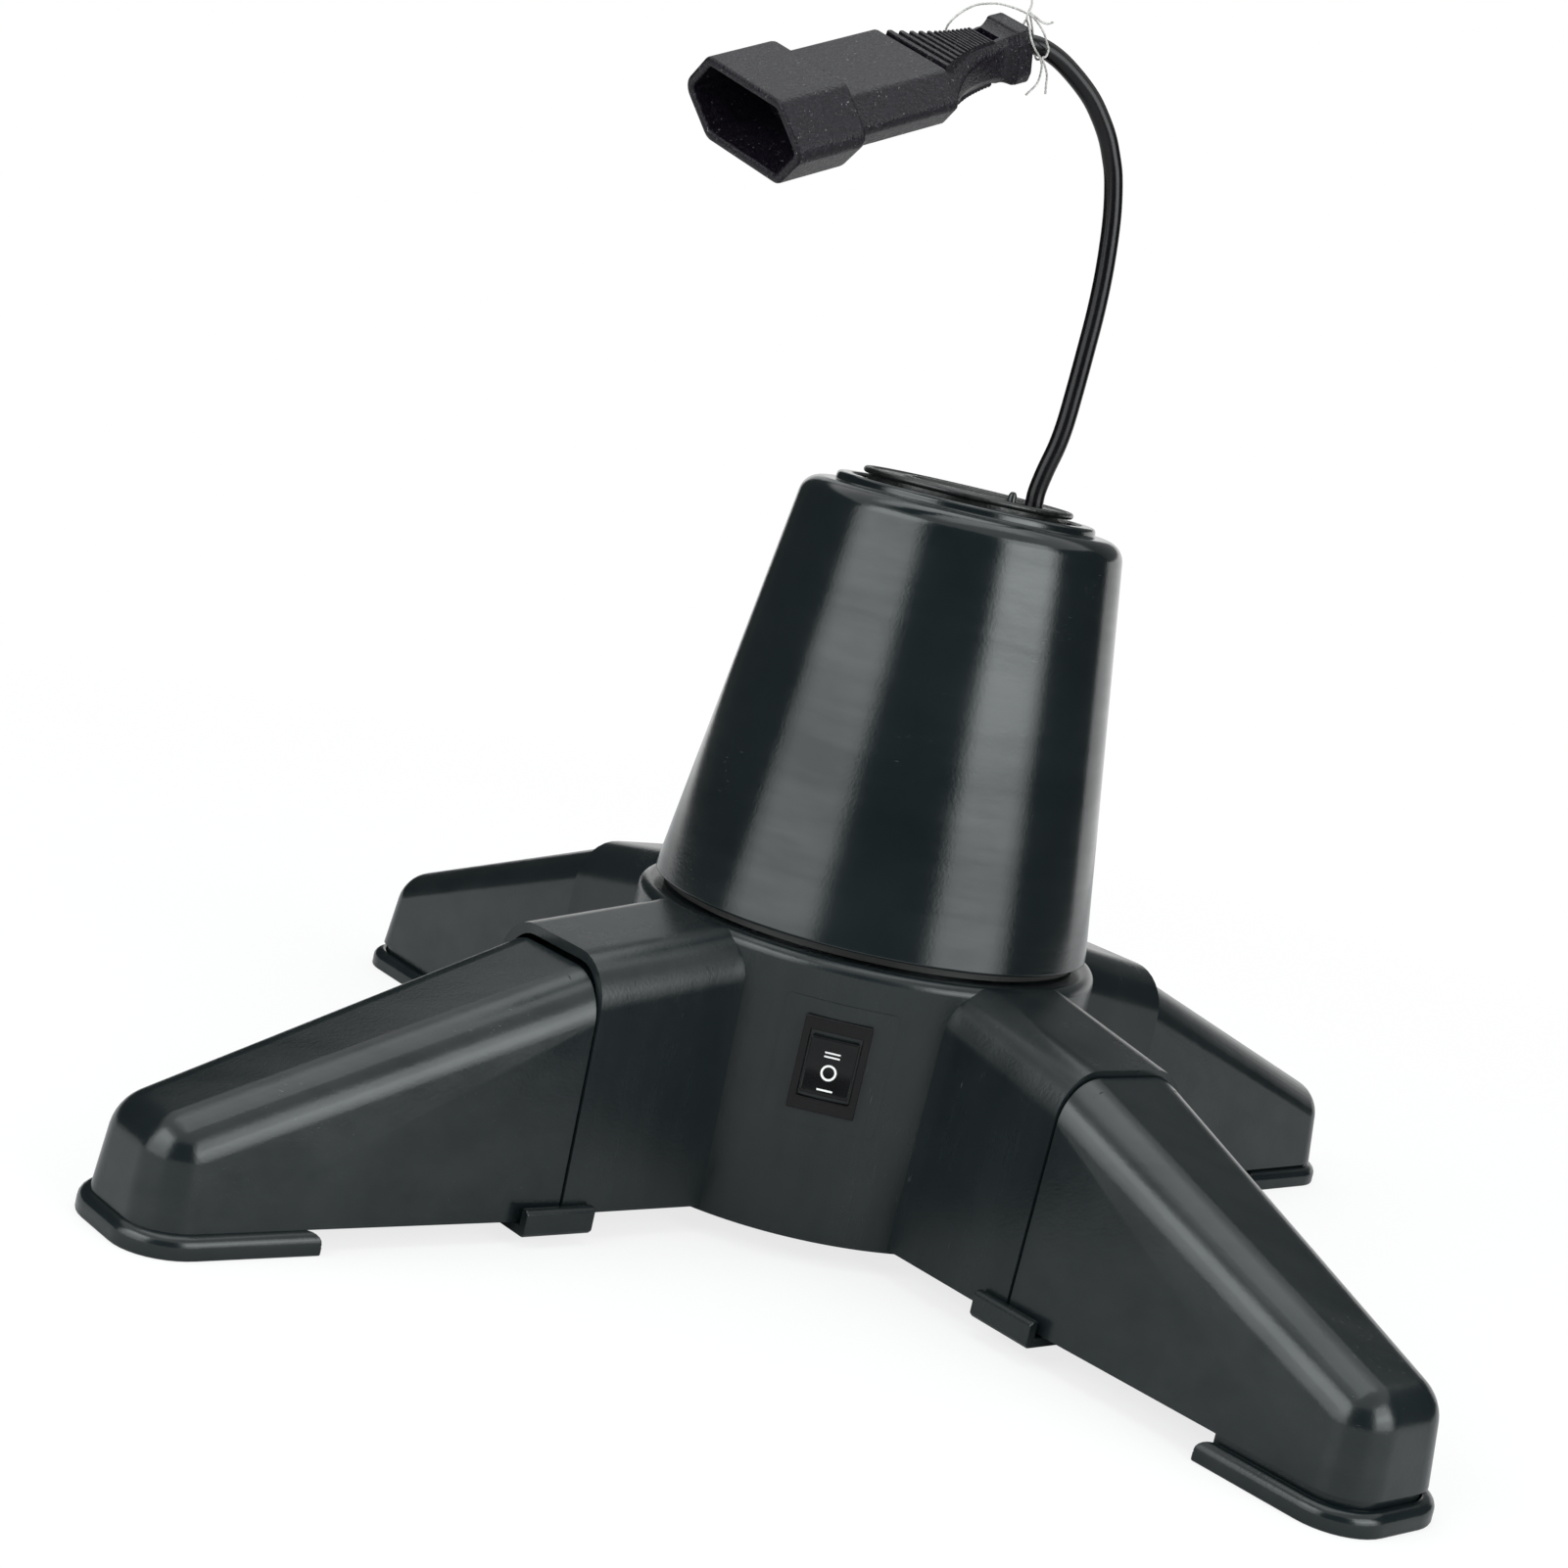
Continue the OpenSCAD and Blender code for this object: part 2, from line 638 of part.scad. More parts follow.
module terminal_block() color([0.85, 0.85, 0.82]) {
    ways = 3;
    pitch = 7.5;
    block_w = 9;
    way_h = 10;
    translate([-ways * pitch / 2 - 12, base_r - 18.1, base_top_z]) difference() {
        cube([ways * pitch, block_w, way_h]);
        for (k = [0:ways - 1]) translate([(k + 0.5) * pitch, block_w / 2, 0]) {
            translate([0, 0, 4.5]) cylinder(r = 1.9, h = way_h);
            translate([0, block_w, 4.5]) rotate([90, 0, 0]) cylinder(r = 1.6, h = 2 * block_w);
        }
        for (k = [1:ways - 1]) translate([k * pitch - 0.6, -1, way_h - 3])
            cube([1.2, block_w + 2, 4]);
    }
}

// ---------------------------------------------------------------- motor and gears

function involute(a) = tan(a) - a * PI / 180;

// Half the angle of a tooth at radius r, in degrees.
function half_tooth(r, teeth) =
    let(pitch_r = tooth_m * teeth / 2, base = pitch_r * cos(20), at = max(r, base))
    90 / teeth - gear_play / 4 / pitch_r * 180 / PI
        + (involute(20) - involute(acos(base / at))) * 180 / PI;

// Spur gear outline with a tooth centred on +X.
module gear_2d(teeth) {
    pitch_r = tooth_m * teeth / 2;
    root_r = pitch_r - 1.25 * tooth_m;
    tip_r = pitch_r + 0.9 * tooth_m;
    radii = [root_r, pitch_r - 0.4 * tooth_m, pitch_r + 0.3 * tooth_m, tip_r];
    polygon([for (t = [0:teeth - 1]) for (k = [0:7])
        let(rising = k < 4, r = radii[rising ? k : 7 - k], half = half_tooth(r, teeth),
            a = t * 360 / teeth + (rising ? -half : half))
        r * [cos(a), sin(a)]]);
}

module motor_can() color(STEEL)
    translate([motor_x, 0, 0]) {
        translate([0, 0, motor_z]) cylinder(r = motor_r, h = motor_h);
        translate([0, 0, motor_z - 1.2]) cylinder(r = 6, h = 1.3);
    }

module motor_flange() color(STEEL) {
    difference() {
        union() {
            translate([motor_x, 0, ear_z]) cylinder(r = motor_r, h = ear_t);
            translate([motor_x, 0, ear_z]) for (side = [-1, 1]) {
                translate([0, side * ear_y, 0]) cylinder(r = post_r, h = ear_t);
                translate([-post_r, side > 0 ? 0 : -ear_y, 0]) cube([2 * post_r, ear_y, ear_t]);
            }
            translate([gear_distance, 0, ear_z])
                cylinder(r = shaft_r + 2.2, h = ear_t + motor_boss_h);
        }
        translate([gear_distance, 0, ear_z - 1])
            cylinder(r = shaft_r + run_fit, h = ear_t + motor_boss_h + 2);
        for (side = [-1, 1]) translate([motor_x, side * ear_y, ear_z - 1])
            cylinder(r = screw_r + fixed_fit, h = ear_t + 2);
    }
}

module motor_screws() color(STEEL)
    for (side = [-1, 1]) translate([motor_x, side * ear_y, ear_z + ear_t])
        pan_screw(screw_r, screw_head_r, screw_l - 1);

module motor_shaft() color(STEEL)
    translate([gear_distance, 0, ear_z + seat_gap])
        cylinder(r = shaft_r, h = gear_z + gear_w - ear_z - seat_gap);

module motor_pinion() color([0.9, 0.88, 0.8])
    translate([gear_distance, 0, gear_z - 1]) difference() {
        union() {
            linear_extrude(gear_w + 1) gear_2d(pinion_teeth);
            translate([0, 0, -4]) cylinder(r = shaft_r + 2.4, h = 4 + tiny);
        }
        translate([0, 0, -5]) cylinder(r = shaft_r + fixed_fit, h = gear_w + 8);
    }

module main_gear() color([0.9, 0.88, 0.8])
    translate([0, 0, gear_z]) difference() {
        union() {
            linear_extrude(gear_w - 0.4) gear_2d(gear_teeth);
            cylinder(r = seat_r + 3, h = gear_w);
        }
        translate([0, 0, -1]) cylinder(r = seat_r + fixed_fit, h = gear_w + 2);
    }

module retaining_ring() color(STEEL) difference() {
    ring(seat_r - clip_ring_bite + fixed_fit, seat_r + 2.4, clip_ring_z, clip_ring_t);
    translate([0, -1.6, clip_ring_z - 1]) cube([seat_r + 5, 3.2, clip_ring_t + 2]);
}

// ---------------------------------------------------------------- bearing and turntable

module race_groove()
    rotate_extrude() translate([ball_circle_r, ball_z]) circle(groove_r);

module journal_bush() color([0.85, 0.83, 0.75])
    ring(journal_r + run_fit, journal_r + run_fit + bush_t, well_z, bush_top_z - well_z);

module lower_race() color(STEEL) difference() {
    ring(race_in_r, race_out_r, lower_race_z, race_t);
    race_groove();
}

module upper_race() color(STEEL) difference() {
    ring(race_in_r, race_out_r, upper_race_z, race_t);
    race_groove();
}

module ball_cage() color([0.80, 0.70, 0.45]) difference() {
    ring(ball_circle_r - cage_w / 2, ball_circle_r + cage_w / 2, ball_z - cage_t / 2, cage_t);
    for (k = [0:balls - 1]) rotate([0, 0, k * 360 / balls])
        translate([ball_circle_r, 0, ball_z - cage_t])
            cylinder(r = ball_r + 0.15, h = 2 * cage_t, $fn = 32);
}

module bearing_balls() color(STEEL)
    for (k = [0:balls - 1]) rotate([0, 0, k * 360 / balls])
        translate([ball_circle_r, 0, ball_z]) sphere(ball_r, $fn = 32);

module turntable() color(BLACK) {
    difference() {
        union() {
            translate([0, 0, table_z]) cylinder(r = table_r, h = table_t);
            translate([0, 0, shoulder_z]) cylinder(r = journal_r, h = table_z - shoulder_z + 1);
            translate([0, 0, boss_bottom_z])
                cylinder(r = seat_r, h = shoulder_z - boss_bottom_z + 1);
            // raised collar and ribs that brace the pole tube inside the drum
            translate([0, 0, table_top_z - tiny]) cylinder(r = pole_out_r + 3, h = 14);
            for (k = [0:5]) rotate([0, 0, 15 + k * 60])
                translate([0, -0.9, table_top_z - tiny]) rotate([90, 0, 90])
                    linear_extrude(table_r - 12) square([1.8, 4]);
        }
        translate([0, 0, pole_z]) cylinder(r = pole_out_r + fixed_fit, h = 100);
        translate([duct_pos[0], duct_pos[1], boss_bottom_z - 1]) cylinder(r = duct_r, h = 100);
        // seat of the upper race
        ring(race_in_r - seat_gap, race_out_r + seat_gap, table_z - 1, race_sink + 1);
        // groove of the retaining ring
        ring(seat_r - clip_ring_bite, seat_r + 1, clip_ring_z, clip_ring_t);
        for (i = [0:3]) at_leg(i) translate([table_screw_r, 0, table_z]) {
            translate([0, 0, -1]) cylinder(r = screw_r + 0.1, h = table_t + 2);
            translate([0, 0, -tiny])
                cylinder(r1 = table_screw_head_r + 0.1, r2 = screw_r, h = 1.3);
        }
    }
}

module turntable_screws() color(STEEL)
    for (i = [0:3]) at_leg(i) translate([table_screw_r, 0, table_z]) difference() {
        union() {
            cylinder(r1 = table_screw_head_r, r2 = screw_r - 0.1, h = 1.25);
            cylinder(r = screw_r, h = screw_l);
        }
        translate([-2, -0.35, -1]) cube([4, 0.7, 1.5]);
    }

// ---------------------------------------------------------------- slip rings

module slip_ring_disc() color([0.45, 0.28, 0.16]) difference() {
    translate([0, 0, disc_z]) cylinder(r = disc_r, h = disc_t);
    for (r = [inner_track_r, outer_track_r])
        ring(r - fixed_fit, r + track_w + fixed_fit, disc_z - 1, 1 + track_t - track_stand);
    translate([duct_pos[0], duct_pos[1], disc_z + disc_t - 1.5])
        cylinder(r = duct_r, h = 5);
}

module slip_ring_inner() color(BRASS)
    ring(inner_track_r, inner_track_r + track_w, disc_z - track_stand, track_t);

module slip_ring_outer() color(BRASS)
    ring(outer_track_r, outer_track_r + track_w, disc_z - track_stand, track_t);

module contact_block() color([0.85, 0.85, 0.82])
    translate([-outer_track_r - track_w - 2.5, -17, base_top_z]) difference() {
        cube([outer_track_r - inner_track_r + track_w + 5, 10, block_h]);
        translate([(outer_track_r - inner_track_r + track_w + 5) / 2 - 0.8, -1, block_h - 5])
            cube([1.6, 12, 6]);
    }

// Two spring fingers, each arched up to just under its brass track.
module contact_fingers() color(BRASS) {
    leaf_t = 0.5;
    low = base_top_z + block_h;
    crest = disc_z - track_stand - seat_gap - leaf_t;
    for (r = [inner_track_r, outer_track_r])
        translate([-r - track_w / 2 - 1.2, 0, 0]) along_x(0, 2.4)
            polygon([[-16, low], [-8, low], [-1.5, crest], [1.5, crest], [6, crest - 2],
                [6, crest - 2 + leaf_t], [1.5, crest + leaf_t], [-1.5, crest + leaf_t],
                [-8, low + leaf_t], [-16, low + leaf_t]]);
}

// ---------------------------------------------------------------- drum, cap and pole tube

// Half of the drum's outline, drawn in by `inset`, from a height up to its flat top.
module drum_outline(inset, low_z) {
    round_r = shoulder_r - inset * 0.6;
    top_z = drum_top_z - inset;
    low_r = drum_r - inset - (low_z - drum_z) * tan(drum_taper);
    tangent_z = top_z - round_r + round_r * sin(drum_taper);
    tangent_r = low_r - (tangent_z - low_z) * tan(drum_taper);
    centre_r = tangent_r - round_r * cos(drum_taper);
    polygon([[0, low_z], [low_r, low_z], [tangent_r, tangent_z], [centre_r, top_z], [0, top_z]]);
    translate([centre_r, top_z - round_r]) circle(round_r);
}

module drum_section() {
    step_edge = 0.9;
    difference() {
        union() {
            drum_outline(0, drum_z);
            translate([0, drum_top_z - 1]) square([step_r, step_h + 1 - step_edge]);
            translate([0, drum_top_z - 1]) square([step_r - step_edge, step_h + 1]);
            translate([step_r - step_edge, step_z - step_edge]) circle(step_edge);
        }
        drum_outline(drum_wall, drum_z - tiny);
        translate([-1, drum_z]) square([cap_hole_r + fixed_fit + 1, drum_h + 10]);
        translate([-1, cap_seat_z]) square([cap_recess_r + 1, 10]);
    }
}

module drum_shell() color(GREEN) {
    boss_h = 16;
    boss_r = 3.4;
    difference() {
        union() {
            rotate_extrude() drum_section();
            // screw bosses, run into the wall, and stiffening ribs inside
            intersection() {
                for (i = [0:3]) at_leg(i) {
                    translate([table_screw_r, 0, table_top_z]) cylinder(r = boss_r, h = boss_h);
                    translate([table_screw_r, -1, table_top_z]) cube([8, 2, boss_h]);
                    rotate([0, 0, 45]) translate([table_screw_r - 1, -0.8, table_top_z + 3])
                        cube([8, 1.6, boss_h * 2]);
                }
                rotate_extrude() drum_outline(drum_wall / 2, drum_z);
            }
        }
        for (i = [0:3]) at_leg(i) translate([table_screw_r, 0, table_top_z - 1])
            cylinder(r = screw_r + fixed_fit, h = screw_l - 1);
    }
}

module cap_section() {
    round_r = cap_rim_t / 2;
    difference() {
        union() {
            translate([pole_r, drum_top_z - cap_neck_l])
                square([cap_hole_r - pole_r, cap_neck_l + 2]);
            translate([pole_r, cap_seat_z])
                square([cap_r - 1.2 - pole_r, cap_rim_z - cap_seat_z + tiny]);
            translate([pole_r, cap_rim_z]) square([cap_r - round_r - pole_r, cap_rim_t]);
            translate([cap_r - round_r, cap_rim_z + round_r]) circle(round_r);
        }
        translate([0, drum_top_z - cap_neck_l - 1])
            square([pole_out_r + fixed_fit, pole_top_z + fixed_fit - drum_top_z
                + cap_neck_l + 1]);
        translate([pole_out_r + 1.2, cap_top_z - 0.4])
            square([cap_r - pole_out_r - 3, 1]);
        polygon([[pole_r - 1, cap_top_z + 1], [pole_r + 1.2, cap_top_z + 1],
            [pole_r + 0.2, cap_top_z - 1], [pole_r + 0.2, pole_top_z - 1],
            [pole_r - 1, pole_top_z - 1]]);
    }
}

module top_cap() color(BLACK) {
    difference() {
        rotate_extrude() cap_section();
        translate([duct_pos[0], duct_pos[1], drum_top_z - cap_neck_l - 1])
            cylinder(r = flex_d / 2 + fixed_fit, h = 20);
    }
    // small pip beside the pole's hole
    translate([10.1, -11.3, cap_top_z - 0.6]) cylinder(r = 1.1, h = 2.7, $fn = 24);
}

module pole_tube() color(STEEL)
    ring(pole_r, pole_out_r, pole_z, pole_top_z - pole_z);

module inner_flex() color(BLACK)
    translate([duct_pos[0], duct_pos[1], disc_z + disc_t - 1.3])
        cylinder(d = flex_d, h = flex_route[0][2] - disc_z - disc_t + 1.3);

// ---------------------------------------------------------------- flex, connector, thread

function unit(v) = v / norm(v);

// Direction of a route at point i, and a frame that is carried along it without twist.
function heading(p, i) = unit(p[min(i + 1, len(p) - 1)] - p[max(i - 1, 0)]);
function carried(p, i, first) =
    i == 0 ? unit(cross(cross(heading(p, 0), first), heading(p, 0)))
    : let(u = carried(p, i - 1, first), h = heading(p, i)) unit(cross(cross(h, u), h));

// Tube of `sides` flats swept along a route, with square ends.
module swept_tube(p, r, sides, first) {
    rings = [for (i = [0:len(p) - 1])
        let(h = heading(p, i), u = carried(p, i, first), v = cross(h, u))
        for (k = [0:sides - 1])
            p[i] + r * (cos(k * 360 / sides) * u + sin(k * 360 / sides) * v)];
    last = (len(p) - 1) * sides;
    walls = [for (i = [0:len(p) - 2]) for (k = [0:sides - 1])
        let(a = i * sides + k, b = i * sides + (k + 1) % sides)
        each [[a, a + sides, b], [b, a + sides, b + sides]]];
    polyhedron(rings, concat(walls,
        [[for (k = [0:sides - 1]) k]],
        [[for (k = [sides - 1:-1:0]) last + k]]));
}

module lead_flex() color(BLACK) swept_tube(flex_route, flex_d / 2, 10, [1, 0, 0]);

// Six-sided mouth outline with blunt ends, drawn in by `inset`.
module mouth_2d(half_w, half_t, inset) {
    blunt = 2.2;
    flat = half_w * 0.6;
    polygon([for (q = [[1, 1], [-1, 1], [-1, -1], [1, -1]])
        let(w = half_w - inset, t = half_t - inset)
        each (q[0] * q[1] > 0
            ? [[q[0] * w, q[1] * blunt], [q[0] * flat, q[1] * t]]
            : [[q[0] * flat, q[1] * t], [q[0] * w, q[1] * blunt]])]);
}

// Neck at a share s of its length: half width and flat's half width, half thickness and the
// half height of its blunt side.
function neck_w(s) = neck_half_w + (grip_half_w - 0.4 - neck_half_w) * pow(1 - s, 2.4);
function neck_flat(s) = neck_w(s) * (0.6 + 0.2 * s);
function neck_t(s) = neck_half_t + (grip_half_t - neck_half_t) * (1 - s);
function neck_blunt(s) = 2.2 + 0.9 * s;

module connector_neck(start, end) {
    steps = 8;
    groove = 0.9;
    corners = 8;
    rings = [for (k = [0:steps])
        let(s = k / steps, x = start + (end - start) * s, w = neck_w(s), f = neck_flat(s),
            t = neck_t(s) - groove, b = neck_blunt(s))
        each [[x, w, -b], [x, w, b], [x, f, t], [x, -f, t],
            [x, -w, b], [x, -w, -b], [x, -f, -t], [x, f, -t]]];
    walls = [for (i = [0:steps - 1]) for (k = [0:corners - 1])
        let(a = i * corners + k, b = i * corners + (k + 1) % corners)
        each [[a, a + corners, b], [b, a + corners, b + corners]]];
    polyhedron(rings, concat(walls,
        [[for (k = [0:corners - 1]) k]],
        [[for (k = [corners - 1:-1:0]) steps * corners + k]]));
    // cross ribs above and below
    pitch = (end - start) / (rib_count + 1);
    for (k = [0:rib_count - 1]) {
        s = (k + 0.6) / (rib_count + 1);
        half_w = neck_flat(s + 0.3 / rib_count);
        half_t = neck_t(s);
        translate([start + s * (end - start), -half_w, -half_t])
            cube([pitch * 0.62, 2 * half_w, 2 * half_t]);
    }
}

module connector_frame() translate(connector_pos) rotate(connector_turn) children();

module connector_body() color(BLACK) connector_frame() {
    grip_end = shroud_l + grip_l;
    neck_end = grip_end + neck_l;
    collar_from = connector_l - collar_l;
    difference() {
        union() {
            along_x(0, shroud_l) mouth_2d(mouth_half_w, mouth_half_t, 0);
            along_x(shroud_l - tiny, grip_end) mouth_2d(grip_half_w, grip_half_t, 0);
            connector_neck(grip_end - tiny, neck_end);
            translate([neck_end - tiny, -neck_half_w, -neck_half_t])
                cube([collar_from - neck_end + 1, 2 * neck_half_w, 2 * neck_half_t]);
            along_x(collar_from, connector_l)
                polygon([for (q = [[1, 1], [-1, 1], [-1, -1], [1, -1]])
                    let(a = [q[0] * collar_half_w, q[1] * (collar_half_t - 2.7)],
                        b = [q[0] * (collar_half_w - 1), q[1] * collar_half_t])
                    each (q[0] * q[1] > 0 ? [a, b] : [b, a])]);
        }
        along_x(-1, recess_l) mouth_2d(mouth_half_w, mouth_half_t, shroud_wall);
        for (side = [-1, 1]) translate([recess_l - 1, side * contact_pitch / 2, 0])
            rotate([0, 90, 0]) cylinder(r = contact_r + fixed_fit, h = contact_l + 2);
        // vent slot in the neck, just before the collar
        translate([neck_end + 1.1, -2.9, neck_half_t - 1.6]) cube([1.3, 5.8, 4]);
    }
}

module connector_contacts() color(BRASS) connector_frame()
    for (side = [-1, 1]) translate([recess_l + 0.6, side * contact_pitch / 2, 0])
        rotate([0, 90, 0]) difference() {
            cylinder(r = contact_r, h = contact_l);
            translate([0, 0, -1]) cylinder(r = contact_bore_r, h = contact_l - 1);
        }

// Thread tied round the flex behind the collar and drawn up to a small eye.
module hanging_thread() color([0.93, 0.92, 0.88]) {
    last = thread_route[len(thread_route) - 1];
    loop_r = flex_d / 2 + thread_d / 2 + fixed_fit;
    swept_tube(thread_route, thread_d / 2, 8, [1, 0, 0]);
    connector_frame() translate([connector_l + 2, 0, 0]) rotate([0, 90, 0])
        rotate_extrude() translate([loop_r, 0]) circle(d = thread_d);
    translate(last + [0, 0, thread_eye_r]) rotate([90, 0, 0])
        rotate_extrude() translate([thread_eye_r, 0]) circle(d = thread_d);
}

// ---------------------------------------------------------------- every piece by its node

hub_housing();
base_plate();
base_screws();
leg(0);  // leg_front_right
leg(1);  // leg_back_right
leg(2);  // leg_back_left
leg(3);  // leg_front_left
foot_shoe(0);  // foot_front_right
foot_shoe(1);  // foot_back_right
foot_shoe(2);  // foot_back_left
foot_shoe(3);  // foot_front_left
lock_clip(0);  // clip_front_right
lock_clip(1);  // clip_back_right
lock_clip(2);  // clip_back_left
lock_clip(3);  // clip_front_left
switch_housing();
switch_rocker();
switch_terminals();
cord_inlet_bush();
terminal_block();
motor_can();
motor_flange();
motor_screws();
motor_shaft();
motor_pinion();
journal_bush();
lower_race();
ball_cage();
bearing_balls();
upper_race();
turntable();
turntable_screws();
main_gear();
retaining_ring();
slip_ring_disc();
slip_ring_inner();
slip_ring_outer();
contact_block();
contact_fingers();
drum_shell();
top_cap();
pole_tube();
inner_flex();
lead_flex();
connector_body();
connector_contacts();
hanging_thread();
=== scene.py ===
import math

import bmesh
import bpy
from mathutils import Matrix, Vector


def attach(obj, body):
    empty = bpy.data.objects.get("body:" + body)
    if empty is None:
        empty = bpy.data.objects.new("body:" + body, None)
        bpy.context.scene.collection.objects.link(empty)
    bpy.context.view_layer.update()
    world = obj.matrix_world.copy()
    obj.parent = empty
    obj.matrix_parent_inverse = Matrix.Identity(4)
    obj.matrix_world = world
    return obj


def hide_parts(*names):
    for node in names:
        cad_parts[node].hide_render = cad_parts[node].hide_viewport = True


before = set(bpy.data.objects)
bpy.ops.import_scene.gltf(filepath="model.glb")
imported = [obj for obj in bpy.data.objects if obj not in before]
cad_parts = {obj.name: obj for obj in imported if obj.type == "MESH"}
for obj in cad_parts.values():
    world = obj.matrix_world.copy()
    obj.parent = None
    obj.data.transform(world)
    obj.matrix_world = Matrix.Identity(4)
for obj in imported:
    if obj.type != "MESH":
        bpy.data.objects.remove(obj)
bpy.ops.object.select_all(action="DESELECT")
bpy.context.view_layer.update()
MM = 0.001

# ---------------------------------------------------------------- the photographer's view
# The camera stands low in front of the stand, a little to the right, and is rolled
# clockwise, so that the drum leans to the left in the picture.
lens = bpy.data.cameras.new("camera")
lens.sensor_width = 36
lens.lens = 60.5006
lens.shift_x = -0.11789
lens.clip_start = 0.01
camera = bpy.data.objects.new("camera", lens)
bpy.context.scene.collection.objects.link(camera)
camera.location = (0.012054, -0.610895, 0.190649)
camera.rotation_euler = [math.radians(a) for a in (81.7308, -13.1649, 1.5738)]
bpy.context.scene.camera = camera

# ---------------------------------------------------------------- round two-core flex
# Black PVC flex, 4.2 mm thick, that comes up through the cap beside the pole's hole,
# bows outwards and runs into the connector, which a thread holds up.


def add_node(tree, kind, settings=(), **sockets):
    """Adds a shader node, sets its options, and its inputs by name with _ for a space."""
    node = tree.nodes.new("ShaderNode" + kind)
    for name, value in dict(settings).items():
        setattr(node, name, value)
    for name, value in sockets.items():
        node.inputs[name.replace("_", " ")].default_value = value
    return node


def wire(tree, *links):
    """Links nodes; each link is a node, its output, the next node and its input."""
    for start, out, end, into in links:
        tree.links.new(start.outputs[out], end.inputs[into])


def new_finish(name, roughness, metallic=0.0, color=None):
    """A material; returns it, its node tree, its shader and the node of its coordinates."""
    material = bpy.data.materials.new(name)
    material.use_nodes = True
    tree = material.node_tree
    shader = tree.nodes["Principled BSDF"]
    shader.inputs["Roughness"].default_value = roughness
    shader.inputs["Metallic"].default_value = metallic
    if color:
        shader.inputs["Base Color"].default_value = (*color, 1)
    return material, tree, shader, add_node(tree, "TexCoord")


def new_effect(name, inputs, outputs):
    """An empty node group with its sockets; returns the tree, its start and its end."""
    tree = bpy.data.node_groups.new(name, "ShaderNodeTree")
    for title, kind, value in inputs:
        socket = tree.interface.new_socket(title, in_out="INPUT", socket_type="NodeSocket" + kind)
        if value is not None:
            socket.default_value = value
    for title, kind in outputs:
        tree.interface.new_socket(title, in_out="OUTPUT", socket_type="NodeSocket" + kind)
    return tree, tree.nodes.new("NodeGroupInput"), tree.nodes.new("NodeGroupOutput")


# Fine grain that every moulded or rubbed surface shares: a small height, a tint that
# drifts slowly over the piece, and a gloss that drifts with it.
grain, g_in, g_out = new_effect(
    "surface_grain",
    [
        ("Vector", "Vector", None),
        ("Grain Scale", "Float", 900.0),
        ("Drift Scale", "Float", 14.0),
        ("Dark", "Color", (0.01, 0.01, 0.01, 1)),
        ("Light", "Color", (0.03, 0.03, 0.03, 1)),
        ("Gloss Low", "Float", 0.3),
        ("Gloss High", "Float", 0.45),
        ("Specks", "Float", 0.0),
    ],
    [("Color", "Color"), ("Roughness", "Float"), ("Height", "Float")],
)
g_fine = add_node(grain, "TexNoise", Detail=2.0, Roughness=0.6)
g_drift = add_node(grain, "TexNoise", Detail=4.0, Roughness=0.62)
g_tone = add_node(grain, "MapRange", From_Min=0.3, From_Max=0.7)
g_color = add_node(grain, "Mix", {"data_type": "RGBA"})
g_gloss = add_node(grain, "MapRange", From_Min=0.25, From_Max=0.75)
g_peak = add_node(grain, "MapRange", From_Min=0.67, From_Max=0.78)
g_some = add_node(grain, "Math", {"operation": "MULTIPLY"})
g_pale = add_node(grain, "Mix", {"data_type": "RGBA"}, B=(0.34, 0.34, 0.35, 1))
wire(
    grain,
    (g_in, "Vector", g_fine, "Vector"),
    (g_in, "Vector", g_drift, "Vector"),
    (g_in, "Grain Scale", g_fine, "Scale"),
    (g_in, "Drift Scale", g_drift, "Scale"),
    (g_drift, "Fac", g_tone, "Value"),
    (g_tone, "Result", g_color, "Factor"),
    (g_in, "Dark", g_color, "A"),
    (g_in, "Light", g_color, "B"),
    (g_fine, "Fac", g_peak, "Value"),
    (g_peak, "Result", g_some, 0),
    (g_in, "Specks", g_some, 1),
    (g_some, "Value", g_pale, "Factor"),
    (g_color, "Result", g_pale, "A"),
    (g_pale, "Result", g_out, "Color"),
    (g_drift, "Fac", g_gloss, "Value"),
    (g_in, "Gloss Low", g_gloss, "To Min"),
    (g_in, "Gloss High", g_gloss, "To Max"),
    (g_gloss, "Result", g_out, "Roughness"),
    (g_fine, "Fac", g_out, "Height"),
)


def grained(name, dark, light, gloss, grain_scale=900, drift=14, bump=0.15, metallic=0.0,
            stretch=(1, 1, 1), specular=0.5, specks=0.0):
    """A material whose colour, gloss and bump all come from the shared grain."""
    material, tree, shader, place = new_finish(name, gloss[0], metallic)
    shader.inputs["Specular IOR Level"].default_value = specular
    lay = add_node(tree, "Mapping", Scale=stretch)
    effect = add_node(
        tree, "Group", {"node_tree": grain}, Grain_Scale=grain_scale, Drift_Scale=drift,
        Dark=(*dark, 1), Light=(*light, 1), Gloss_Low=gloss[0], Gloss_High=gloss[1], Specks=specks)
    relief = add_node(tree, "Bump", Strength=bump, Distance=0.0004)
    wire(
        tree,
        (place, "Object", lay, "Vector"),
        (lay, "Vector", effect, "Vector"),
        (effect, "Color", shader, "Base Color"),
        (effect, "Roughness", shader, "Roughness"),
        (effect, "Height", relief, "Height"),
        (relief, "Normal", shader, "Normal"),
    )
    return material


